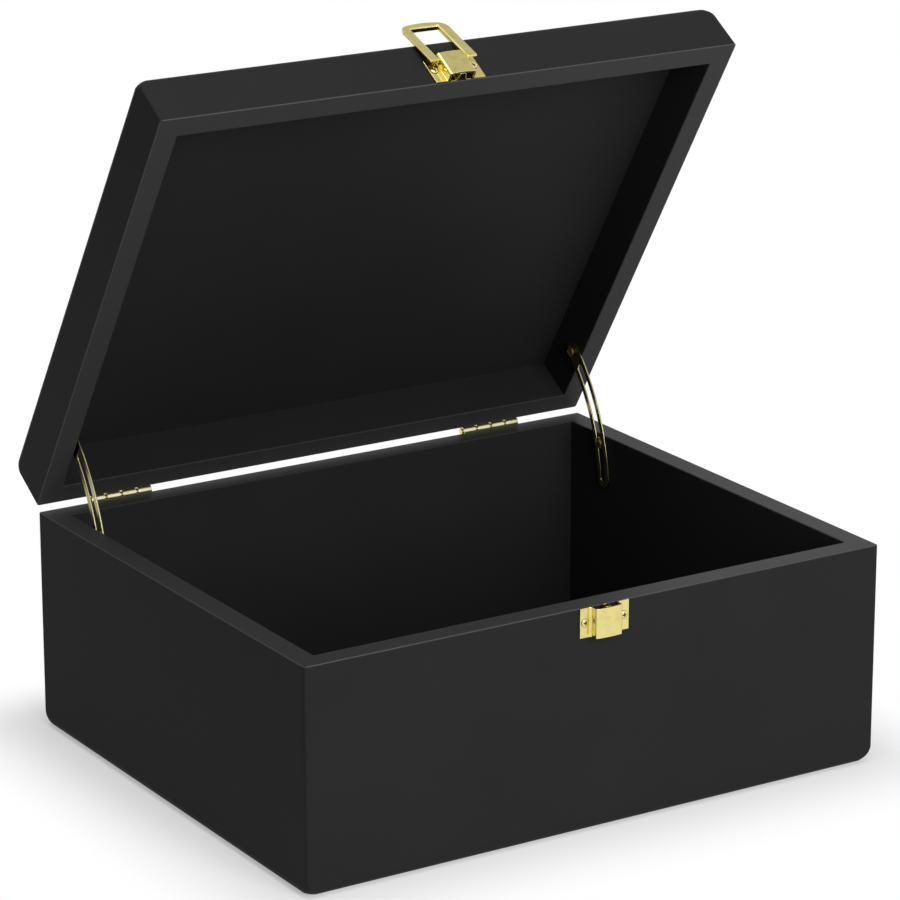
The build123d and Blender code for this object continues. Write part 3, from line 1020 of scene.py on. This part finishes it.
@dataclass
class Catch:
    """The base's half of the draw latch: hooded plate, folded leaf spring and two screws."""

    front: float
    rim: float
    height: float = 15.0
    proud: float = 6.2
    fold: float = 1.5
    spring_width: float = 3.2
    spring_strip: float = 0.8
    spring_length: float = 12.0
    spring_corner: float = 1.28
    spring_ease: float = 0.15
    hood_seat: float = 0.04
    screw_spacing: float = 22.4
    screw_drop: float = 7.4

    def build(self, shop: Workshop) -> None:
        """Makes the catch's pieces.

        Args:
            shop: Where pieces are made into objects.
        """
        plate = HoodedPlate(self.rim - self.height, self.height, self.proud, self.fold)
        middle = (0, self.front - plate.sheet, self.rim - self.screw_drop)
        screws = SMALL_SCREW.set_in(Placing.pair(middle, self.screw_spacing, -1))
        shop.add("hooded_catch", plate.shell(self.front), shop.sheet, Body.BASE, "catch_plate")
        shop.add("folded_catch_spring", self._spring(plate.sheet), shop.sheet, Body.BASE, "catch_spring")
        shop.add("catch_cross_screws", screws, shop.screws, Body.BASE, "catch_screws")

    def _spring(self, sheet: float) -> Shell:
        """A strip bent into a flattened ring that stands in the hood, with rounded corners.

        Args:
            sheet: The hood's thickness.

        Returns:
            The spring.
        """
        depth = self.proud - sheet - self.hood_seat
        wide, deep = (self.spring_width - self.spring_strip) / 2, (depth - self.spring_strip) / 2
        middle = self.front - depth / 2
        corner = self.spring_corner - self.spring_strip / 2
        path = Outline.rounded(
            [(0, middle - deep), (wide, middle - deep), (wide, middle + deep), (-wide, middle + deep),
             (-wide, middle - deep), (0, middle - deep)], [corner] * 4).ring()
        return bent_strip(path, self.spring_strip, self.rim - self.spring_length, self.rim, self.spring_ease,
                          ring=True)


@dataclass
class DrawLatch:
    """The lid's half of the draw latch: hooded plate, inner tab and two screws."""

    front: float
    rim: float
    swing: LidSwing
    height: float = 15.0
    proud: float = 6.3
    fold: float = 0.4
    screw_spacing: float = 22.4
    screw_rise: float = 8.0
    tab_strip: float = 0.8
    tab_length: float = 6.2
    tab_width: float = 4.4
    tab_foot: float = 11.0
    tab_ease: float = 0.15
    hood_seat: float = 0.04

    def build(self, shop: Workshop) -> None:
        """Makes the latch's pieces, each swung open with the lid.

        Args:
            shop: Where pieces are made into objects.
        """
        plate = HoodedPlate(self.rim, self.height, self.proud, self.fold)
        middle = (0, self.front - plate.sheet, self.rim + self.screw_rise)
        screws = SMALL_SCREW.set_in(Placing.pair(middle, self.screw_spacing, -1))
        for name, shell, finish, node in (
                ("hooded_latch", plate.shell(self.front), shop.sheet, "latch_plate"),
                ("latch_guide_tab", self._tab(plate.sheet), shop.sheet, "latch_inner_tab"),
                ("latch_cross_screws", screws, shop.screws, "latch_screws")):
            shop.add(name, self.swing.opened(shell), finish, Body.LID, node)

    def _tab(self, sheet: float) -> Shell:
        """A strip bent like a low bridge, its feet splayed on the board and its top under the hood.

        Args:
            sheet: The hood's thickness.

        Returns:
            The tab, with the lid shut.
        """
        middle = self.tab_strip / 2
        foot = self.front - middle
        top = self.front - self.proud + sheet + self.hood_seat + middle
        heel, shoulder = self.tab_width / 2 + middle, self.tab_width / 2 - self.tab_strip
        end = self.tab_foot / 2
        path = Outline.rounded([(-end, foot), (-heel, foot), (-shoulder, top), (shoulder, top), (heel, foot),
                                (end, foot)], [self.tab_strip] * 4)
        return bent_strip(path, self.tab_strip, self.rim, self.rim + self.tab_length, self.tab_ease)


@dataclass
class DrawLoop:
    """The stamped loop that swings over the catch, lying back on the lid's edge, and its pivot pin."""

    front: float
    rim: float
    swing: LidSwing
    pivot_rise: float = 12.0
    pivot_proud: float = 3.9
    hood_half: float = 7.6
    side_gap: float = 0.3
    width: float = 27.0
    reach: float = 31.6
    leg_end: float = 1.6
    corner: float = 5.8
    crown: float = 2.0
    crown_radius: float = 45.0
    sheet: float = 1.2
    face: float = 1.5
    leg_depth: float = 2.4
    far_depth: float = 2.9
    bend: float = 1.0
    window_corner: float = 0.9
    window_spread: float = 0.8
    ease: float = 0.3
    eye_radius: float = 1.4
    eye_depth: float = 0.9
    eye_ease: float = 0.2
    pin_radius: float = 0.7
    pin_end_gap: float = 0.2
    catch_low: float = 15.4
    catch_proud: float = 6.2
    catch_margin: float = 0.4
    lid_height: float = 30.5
    edge_round: float = 5.8
    rest_gap: float = 0.25

    def build(self, shop: Workshop) -> None:
        """Makes the loop and its pin, swung open with the lid.

        Args:
            shop: Where pieces are made into objects.
        """
        pivot = (0, self.front - self.pivot_proud, self.rim + self.pivot_rise)
        half = self.hood_half + self.side_gap + self.eye_depth - self.pin_end_gap
        pin = turned([(self.pin_radius, half), (self.pin_radius, -half)])
        pin = self.swing.opened(Placing.at(pivot, (0, 1, 0), (1, 0, 0)).carry(pin))
        shop.add("draw_loop_pin", pin, shop.sheet, Body.LID, "latch_pivot_pin")
        slant = self._slant()
        place = Placing.at(pivot, (1, 0, 0), (0, -math.cos(slant), math.sin(slant)))
        loop = Shell.joined([self._frame(), *(self._eye(side) for side in Side)])
        shop.add("draw_loop", self.swing.opened(place.carry(loop)), shop.sheet, Body.LOOP, "latch_loop")

    def _slant(self) -> float:
        """Finds how far the loop leans back on the lid's rounded edge.

        The line of the folded walls' edges passes the middle of that rounding at a set distance,
        so the tilt is acos(that distance / the way to the middle) less the bearing of the middle.

        Returns:
            The tilt back from the lid's front, in radians.
        """
        rise = self.lid_height - self.edge_round - self.pivot_rise
        inset = self.pivot_proud + self.edge_round
        clear = self.edge_round + self.rest_gap + self.leg_depth - self.face
        return math.acos(clear / math.hypot(rise, inset)) - math.atan2(rise, inset)

    def _frame(self) -> Shell:
        """The loop's folded sheet.

        The fold is deeper along the far side, and the change is an even step where it turns the corner.

        Returns:
            The sheet, Y from the pivot to the crowned far edge and Z off its face.
        """
        proud = max(self.catch_proud - self.pivot_proud, self.face)
        far = math.hypot(self.pivot_rise + self.catch_low, proud)
        window_end, inner = far + self.catch_margin, self.hood_half + self.side_gap
        half = self.width / 2
        slope = math.atan2(self.crown, half)
        peak = self.reach + self.crown_radius * (1 / math.cos(slope) - 1)
        edge = Outline.rounded(
            [(half, -self.leg_end), (half, peak - self.crown), (0, peak), (-half, peak - self.crown),
             (-half, -self.leg_end)], [self.corner, self.crown_radius, self.corner], steps=14)
        window = Outline.rounded(
            [(inner, -self.leg_end), (inner, window_end), (0, window_end), (-inner, window_end),
             (-inner, -self.leg_end)],
            [self.window_corner, self.window_spread * inner, self.window_corner], steps=14)
        share = np.clip((window.points[:, 1] - window_end + self.window_corner) / self.window_corner, 0, 1)
        depths = self.leg_depth + (self.far_depth - self.leg_depth) * share
        shell = folded_frame(edge, window, self.sheet, depths, self.bend, self.ease)
        return Shell(shell.points + self.face * UP, shell.normals, shell.faces)

    def _eye(self, side: Side) -> Shell:
        """The lobe of a leg's wall round the pin.

        Args:
            side: Which leg it is on.

        Returns:
            The lobe, in the loop's own axes.
        """
        half, radius, ease = self.sheet / 2, self.eye_radius, self.eye_ease
        eye = turned([(radius - ease, half), (radius, half - ease), (radius, ease - half),
                      (radius - ease, -half)])
        bearing, height = np.arctan2(eye.points[:, 1], eye.points[:, 0]), eye.points[:, 2:]
        eye.normals = np.where(np.isclose(np.abs(height), half), UP * np.sign(height),
                               lifted(np.column_stack([np.cos(bearing), np.sin(bearing)])))
        middle = side.value * (self.hood_half + self.side_gap + half)
        return Placing.at((middle, 0, 0), (0, 1, 0), (1, 0, 0)).carry(eye)


# ---- The stays ----


def spun(point: Array, angle: float) -> Array:
    """A point of a plane turned about the plane's origin by an angle in radians."""
    c, s = math.cos(angle), math.sin(angle)
    return np.array([point[0] * c - point[1] * s, point[0] * s + point[1] * c])


@dataclass
class LidStays:
    """Two arched, slotted stays, each on a pivot screw in the lid and round a guide screw in the base.

    The pivot and the guide are the screws' places with the lid shut, forward and up from the hinge's axis.
    """

    inner_x: float
    swing: LidSwing
    open_angle: float = 92.0
    turn_share: float = 0.65
    thickness: float = 0.8
    width: float = 10.0
    slot_width: float = 4.4
    tail: float = 5.4
    pivot: Pair = (43.0, 6.8)
    guide: Pair = (44.6, -4.4)
    washer: float = 0.5
    side_gap: float = 0.3
    ease: float = 0.22

    def build(self, shop: Workshop) -> None:
        """Makes both stays and their screws.

        Args:
            shop: Where pieces are made into objects.
        """
        for side, body in ((Side.LEFT, Body.LEFT_STAY), (Side.RIGHT, Body.RIGHT_STAY)):
            shop.add(f"slotted_{body.value}", self._stay(side), shop.stays, body, body.value)
        collar = self.washer + 2 * self.side_gap + self.thickness
        screw = CrossHeadScrew(head_radius=2.9, head_height=2.2, shank_radius=1.6, shank_length=9.0,
                               collar=collar)
        for name, (forward, up), body in (("guide", self.guide, Body.BASE), ("pivot", self.pivot, Body.LID)):
            y, z = self.swing.axis_y - forward, self.swing.axis_z + up
            screws = screw.set_in([Placing.at((side.value * (self.inner_x - collar), y, z), (0, 1, 0),
                                              (-side.value, 0, 0)) for side in Side])
            if body is Body.LID:
                screws = self.swing.opened(screws)
            shop.add(f"stay_{name}_cross_screws", screws, shop.screws, body, f"stay_{name}_screws")

    def _pin_in_stay(self, opening: float) -> Array:
        """Where the guide screw stands in the stay's own plane at an opening.

        With p the pivot and g the guide screw, both from the hinge's axis, it is p + T(g - R p), where R
        turns by the opening and T turns back by the stay's share of it.

        Args:
            opening: The lid's opening in degrees.

        Returns:
            The place, forward and up from the hinge's axis.
        """
        pivot, guide = np.array(self.pivot), np.array(self.guide)
        lid_turn = math.radians(opening)
        return pivot + spun(guide - spun(pivot, lid_turn), -self.turn_share * lid_turn)

    def _stay(self, side: Side) -> Shell:
        """One stay at rest: an arched strip through the guide screw's places, with its slot cut out.

        The arch's centre is as far from three of those places, which gives two linear equations.

        Args:
            side: Which side it is on.

        Returns:
            The stay.
        """
        a, b, c = (self._pin_in_stay(share * self.open_angle) for share in (0.0, 0.5, 1.0))
        matrix = 2 * np.array([b - a, c - a])
        centre = np.linalg.solve(matrix, np.array([b @ b - a @ a, c @ c - a @ a]))
        radius = float(np.linalg.norm(a - centre))
        pivot, start, end = (math.atan2(y, x) for x, y in (np.array([self.pivot, a, c]) - centre))
        tail = end - math.copysign((self.tail - self.width / 2) / radius, start - end)
        outer = Outline.arched_slot(centre, radius, min(pivot, tail), max(pivot, tail), self.width / 2)
        inner = Outline.arched_slot(centre, radius, min(start, end), max(start, end), self.slot_width / 2)
        plate = windowed_plate(outer, inner, self.thickness, self.ease)
        x = self.inner_x - self.washer - self.side_gap - self.thickness / 2
        place = Placing.at((side.value * x, self.swing.axis_y, self.swing.axis_z), (0, -1, 0), (-1, 0, 0))
        opened = self.swing.opened(place.carry(plate))
        forward, up = spun(np.array(self.pivot), math.radians(self.swing.rest_angle))
        back = (self.turn_share - 1) * self.swing.rest_angle
        return self.swing.turn(opened, back, self.swing.axis_y - forward, self.swing.axis_z + up)


# ---- The hinges ----


@dataclass
class BarrelHinges:
    """Two butt hinges on the back, their knuckles rolled from the leaves round a plain pin."""

    swing: LidSwing
    back: float
    middles: Pair = (-116.8, 108.9)
    length: float = 36.0
    leaf: float = 1.2
    leaf_height: float = 15.0
    barrel: float = 2.8
    knuckles: int = 4
    gap: float = 1.4
    corner: float = 1.5
    strap: float = 1.6
    roll: float = 312.0
    plate_gap: float = 0.2
    near_corner: float = 0.3
    ease: float = 0.18
    screw_spacing: float = 20.0
    screw_height: float = 9.0

    def build(self, shop: Workshop) -> None:
        """Makes both hinges.

        Args:
            shop: Where pieces are made into objects.
        """
        for middle, name in zip(self.middles, ("left", "right")):
            base_leaf, lid_leaf = self._leaf(middle, -1), self.swing.opened(self._leaf(middle, 1))
            shop.add(f"{name}_rolled_base_leaf", base_leaf, shop.hinges, Body.BASE, f"{name}_hinge_base_leaf")
            shop.add(f"{name}_rolled_lid_leaf", lid_leaf, shop.hinges, Body.LID, f"{name}_hinge_lid_leaf")
        for way, body in ((-1, Body.BASE), (1, Body.LID)):
            height = self.swing.axis_z + way * self.screw_height
            screws = SMALL_SCREW.set_in([place for middle in self.middles for place in Placing.pair(
                (middle, self.back + self.leaf, height), self.screw_spacing, 1)])
            if body is Body.LID:
                screws = self.swing.opened(screws)
            part = body.value
            shop.add(f"hinge_{part}_cross_screws", screws, shop.screws, body, f"hinge_{part}_screws")

    def _leaf(self, middle: float, way: int) -> Shell:
        """One leaf: a plate with rounded far corners, and every second knuckle rolled from a strap.

        The roll follows radius * (cos a, sin a) from the board's side, over the pin and most of the way
        round again. The plate's own Y points down on the back, so the lid's is turned half round.

        Args:
            middle: The hinge's middle along X.
            way: 1 for the lid's leaf, -1 for the base's.

        Returns:
            The leaf, with the lid shut.
        """
        half, near, far = self.length / 2, self.barrel + self.plate_gap, self.leaf_height
        edge = Outline.rounded([(0, near), (half, near), (half, far), (-half, far), (-half, near), (0, near)],
                               [self.near_corner, self.corner, self.corner, self.near_corner]).ring()
        flat = Placing.at((middle, self.back + self.leaf / 2, self.swing.axis_z), (1, 0, 0), (0, 1, 0))
        plate = slab(edge, self.leaf, self.ease)
        if way > 0:
            plate = Shell(plate.points * [-1, -1, 1], plate.normals * [-1, -1, 1], plate.faces)
        parts = [flat.carry(plate)]
        pitch = self.length / self.knuckles
        radius = self.barrel - self.leaf / 2
        angles = np.radians(np.linspace(180.0, 180.0 - self.roll, 40))
        spokes = np.column_stack([np.cos(angles), -way * np.sin(angles)])
        points = np.concatenate([[[-radius, way * (self.barrel + self.strap)]], radius * spokes])
        left = np.concatenate([spokes[:1], spokes]) * -way
        width = pitch - self.gap
        strip = bent_strip(Outline(points, left), self.leaf, -width / 2, width / 2, self.ease)
        for knuckle in range(0 if way < 0 else 1, self.knuckles, 2):
            pin_line = (middle + (knuckle + 0.5) * pitch - half, self.back + self.barrel, self.swing.axis_z)
            parts.append(Placing.at(pin_line, (0, 1, 0), (1, 0, 0)).carry(strip))
        return Shell.joined(parts)


# ---- The case ----


@dataclass
class WoodenCase:
    """The base's and lid's painted boards, which keep their CAD shapes."""

    paint: SatinPaint
    rest_angle: float
    rim_offset: float = 0.0002
    along_x: tuple = (0.05, 1.0, 1.0)
    along_y: tuple = (1.0, 0.05, 1.0)

    def build(self, shop: Workshop) -> None:
        """Dresses each board in paint whose grain runs along it, with painted highlights at the rims of the
        upright boards.

        A lid's rim and face are turned about the hinge's axis from where they are with the lid shut.

        Args:
            shop: Where the boards are dressed.
        """
        turn = math.radians(self.rest_angle)
        tilt = np.array([[1.0, 0.0, 0.0], [0.0, math.cos(turn), -math.sin(turn)],
                         [0.0, math.sin(turn), math.cos(turn)]])
        corner = np.array(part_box("base_front_panel")[1])
        hinge = np.array(next(joint for joint in frame["joints"] if joint["name"] == "lid_hinge")["pos_m"])
        half_x, half_y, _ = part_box("base_bottom_panel")[1]
        half = np.array([half_x, half_y, 0.0])
        for where, grain, out in (
                ("front", self.along_x, (0.0, -1.0, 0.0)), ("back", self.along_x, (0.0, 1.0, 0.0)),
                ("left", self.along_y, (-1.0, 0.0, 0.0)), ("right", self.along_y, (1.0, 0.0, 0.0))):
            face = half * out
            base_rim = Rim(corner, UP, face, np.array(out))
            lid_rim = Rim(hinge + self.rim_offset * UP @ tilt, -UP @ tilt, hinge + (face - hinge) @ tilt,
                          out @ tilt)
            for part, kind, rim in (("base", "panel", base_rim), ("lid", "rail", lid_rim)):
                shop.dress(f"{part}_{where}_{kind}",
                           self.paint.material(f"black_satin_{part}_{where}", grain, rim))
        for board in ("base_bottom", "lid_top"):
            shop.dress(f"{board}_panel", self.paint.material(f"black_satin_{board}", self.along_x))


# ---- The studio ----


@dataclass(frozen=True)
class Card:
    """A card beside the box: its middle, half of each of its sides, its shader and the rays that miss it."""

    name: str
    middle: Place
    half_along: Place
    half_up: Place
    shader: str
    inputs: dict
    unseen: tuple[str, ...]


@dataclass(frozen=True)
class Lamp:
    """A soft square lamp: where it hangs, what it points at, its width in metres and its power in watts."""

    name: str
    at: Place
    toward: Place
    width: float
    power: float


@dataclass
class Studio:
    """The camera, the lamps, the pale floor and the white surround.

    A black card gives the left side its shade, and a grey one overhead gives metal something to mirror.
    """

    camera_at: Place = (-1.05078, -1.66993, 0.77216)
    yaw: float = 32.130
    pitch: float = 17.324
    lens: float = 165.39
    sensor: float = 36.0
    dim: float = 0.38
    floor_radius: float = 9.0
    floor_below: float = 0.0002
    floor_tone: Colour = (0.82, 0.82, 0.82)
    foot: Pair = (0.165, 0.13425)
    seen_white: Pair = (0.40, 0.60)
    seen_reach: Pair = (0.0, 0.065)
    other_white: Pair = (0.55, 0.45)
    other_reach: Pair = (0.05, 0.5)
    cards: tuple[Card, ...] = (
        Card("left_flag", (-0.62, 0.25, 0.3), (0.0, 0.75, 0.0), (0.0, 0.0, 0.3), "ShaderNodeBsdfDiffuse",
             {"Color": rgba((0.01, 0.01, 0.01))}, ("camera",)),
        Card("overhead_card", (1.2, 0.85, 2.2), (0.0, 1.3, 0.0), (0.9, 0.0, 0.0), "ShaderNodeEmission",
             {"Color": rgba(WHITE), "Strength": 0.60}, ("camera", "diffuse", "shadow")))
    lamps: tuple[Lamp, ...] = (Lamp("overhead", (-0.30, -0.25, 1.85), (0.0, 0.0, 0.1), 1.3, 14.0),
                               Lamp("front", (-0.05, -2.0, 0.95), (0.0, 0.0, 0.15), 1.2, 32.0))

    def build(self) -> None:
        """Makes the camera, the surround, the floor, the cards and the lamps."""
        scene = bpy.context.scene
        scene.view_settings.view_transform = "Standard"
        self._camera(scene)
        self._surround(scene)
        self._floor()
        for card in self.cards:
            self._card(card)
        for lamp in self.lamps:
            self._lamp(lamp)

    def _camera(self, scene: bpy.types.Scene) -> None:
        """Sets the camera from its place, its turn about the upright and its tilt down.

        Args:
            scene: The scene that it is for.
        """
        data = bpy.data.cameras.new("studio_camera")
        data.lens, data.sensor_width, data.sensor_fit = self.lens, self.sensor, "HORIZONTAL"
        data.clip_start, data.clip_end = 0.05, 60.0
        camera = bpy.data.objects.new("studio_camera", data)
        camera.location = self.camera_at
        camera.rotation_euler = (math.radians(90.0 - self.pitch), 0.0, -math.radians(self.yaw))
        scene.collection.objects.link(camera)
        scene.camera = camera

    def _seen(self, bench: Bench) -> tuple[Wire, Wire]:
        """Which rays see plain white, where diffuse light doesn't.

        Args:
            bench: Where the nodes are made.

        Returns:
            1 for rays from the camera, and 1 for rays from gloss and through glass.
        """
        camera, gloss, glass = (bench.node("ShaderNodeLightPath", output=f"Is {kind} Ray")
                                for kind in ("Camera", "Glossy", "Transmission"))
        return camera, gloss + glass

    def _surround(self, scene: bpy.types.Scene) -> None:
        """A white surround whose light on the object is held down.

        Args:
            scene: The scene that it is for.
        """
        scene.world = bpy.data.worlds.new("white_surround")
        scene.world.use_nodes = True
        bench = Bench(scene.world.node_tree)
        dim, white = (bench.node("ShaderNodeBackground", {}, {"Color": rgba(WHITE), "Strength": strength})
                      for strength in (self.dim, 1.0))
        camera, other = self._seen(bench)
        bench.finish(bench.node("ShaderNodeMixShader", {}, {0: camera + other, 1: dim, 2: white}),
                     "ShaderNodeOutputWorld")

    def _floor(self) -> None:
        """A round pale floor that keeps the box's shadow, greyed near the box's foot by a painted shadow, and
        plain white a little way off.

        How far a point is from the box's foot is the length of (|x| - half length, |y| - half depth),
        with neither below 0.
        """
        bearing = np.linspace(0.0, 2 * math.pi, 96, endpoint=False)
        rim = self.floor_radius * np.column_stack([np.cos(bearing), np.sin(bearing)])
        material, bench = bare_material("pale_floor")
        place = bench.place()
        x, y = ((bench.node("ShaderNodeSeparateXYZ", {}, {"Vector": place}, axis).maths("ABSOLUTE") - half)
                .maths("MAXIMUM", 0.0) for axis, half in zip("XY", self.foot))
        from_box = (x * x + y * y).maths("SQRT")
        pale = bench.node("ShaderNodeBsdfDiffuse", {}, {"Color": rgba(self.floor_tone)})
        white = bench.node("ShaderNodeEmission", {}, {"Color": rgba(WHITE), "Strength": 1.0})
        camera, other = self._seen(bench)
        (near, far), (near_other, far_other) = self.seen_white, self.other_white
        # Painted shadow: near the box's foot less of the floor is plain white, so it looks greyer there even
        # where lit, and gloss rays see a painted shade.
        share = (camera * (near + far * from_box.faded(*self.seen_reach))
                 + other * (near_other + far_other * from_box.faded(*self.other_reach)))
        bench.finish(bench.node("ShaderNodeMixShader", {}, {0: share, 1: pale, 2: white}))
        self._stage("studio_floor", lifted(rim, -self.floor_below), material)

    def _card(self, card: Card) -> None:
        """Makes one card.

        Args:
            card: What it is and where it stands.
        """
        along, up = np.array(card.half_along), np.array(card.half_up)
        material, bench = bare_material(card.name)
        bench.finish(bench.node(card.shader, {}, card.inputs))
        corners = np.array([-along - up, along - up, along + up, up - along]) + card.middle
        self._stage(card.name, corners, material, card.unseen)

    def _stage(self, name: str, corners: Array, material: bpy.types.Material,
               unseen: tuple[str, ...] = ()) -> None:
        """Makes one flat face that isn't part of the box.

        Args:
            name: Its name.
            corners: Its corners in order, in metres.
            material: Its finish.
            unseen: The kinds of rays that miss it.
        """
        mesh = bpy.data.meshes.new(name)
        mesh.from_pydata(corners.tolist(), [], [tuple(range(len(corners)))])
        mesh.update()
        mesh.materials.append(material)
        card = bpy.data.objects.new(name, mesh)
        for kind in unseen:
            setattr(card, f"visible_{kind}", False)
        bpy.context.scene.collection.objects.link(card)

    def _lamp(self, lamp: Lamp) -> None:
        """Makes one lamp.

        Args:
            lamp: What it is and where it hangs.
        """
        data = bpy.data.lights.new(lamp.name, "AREA")
        data.shape, data.size, data.size_y, data.energy = "RECTANGLE", lamp.width, lamp.width, lamp.power
        made = bpy.data.objects.new(lamp.name, data)
        made.location = lamp.at
        x, y, z = np.array(lamp.toward) - np.array(lamp.at)
        made.rotation_euler = (math.pi / 2 + math.atan2(z, math.hypot(x, y)), 0.0, math.atan2(-x, y))
        bpy.context.scene.collection.objects.link(made)


def main() -> None:
    """Builds the studio and then the box, piece by piece."""
    logging.basicConfig(level=logging.INFO, format="%(name)s %(message)s")
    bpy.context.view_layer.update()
    Studio().build()
    brass = PolishedBrass().material("polished_brass")
    # Painted highlight: the hinges take a paler, creamier copy of the brass, to look as bright as the light
    # they catch.
    pale = PolishedBrass(colour=(0.72, 0.67, 0.43), tarnish=(0.56, 0.49, 0.24), roughness=0.13)
    # Painted shade: the stays take a darker copy of the brass, about half as bright, as if shaded by the lid.
    shaded = PolishedBrass(colour=(0.41, 0.365, 0.19), tarnish=(0.31, 0.26, 0.11), roughness=0.17)
    screw_brass = PolishedBrass(roughness=0.14).material("screw_brass", with_painted_shade=True)
    shop = Workshop(sheet=Finish(brass, Slot.BRASS), stays=Finish(shaded.material("shaded_stay_brass"), Slot.BRASS),
                    hinges=Finish(pale.material("lit_hinge_brass"), Slot.BRASS),
                    screws=Finish(screw_brass, Slot.FASTENERS))
    swing = LidSwing(axis_y=137.05, axis_z=115.8, rest_angle=58.0)
    front, base_rim, lid_rim, inner_x = -134.25, 115.6, 116.0, 153.0
    WoodenCase(SatinPaint(), swing.rest_angle).build(shop)
    Catch(front, base_rim).build(shop)
    DrawLatch(front, lid_rim, swing).build(shop)
    DrawLoop(front, lid_rim, swing).build(shop)
    LidStays(inner_x, swing).build(shop)
    BarrelHinges(swing, -front).build(shop)
    for node in ("left_hinge_pin", "right_hinge_pin", "stay_guide_washers", "stay_pivot_washers"):
        shop.dress(node, brass)
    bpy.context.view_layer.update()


if __name__ == "__main__":
    main()
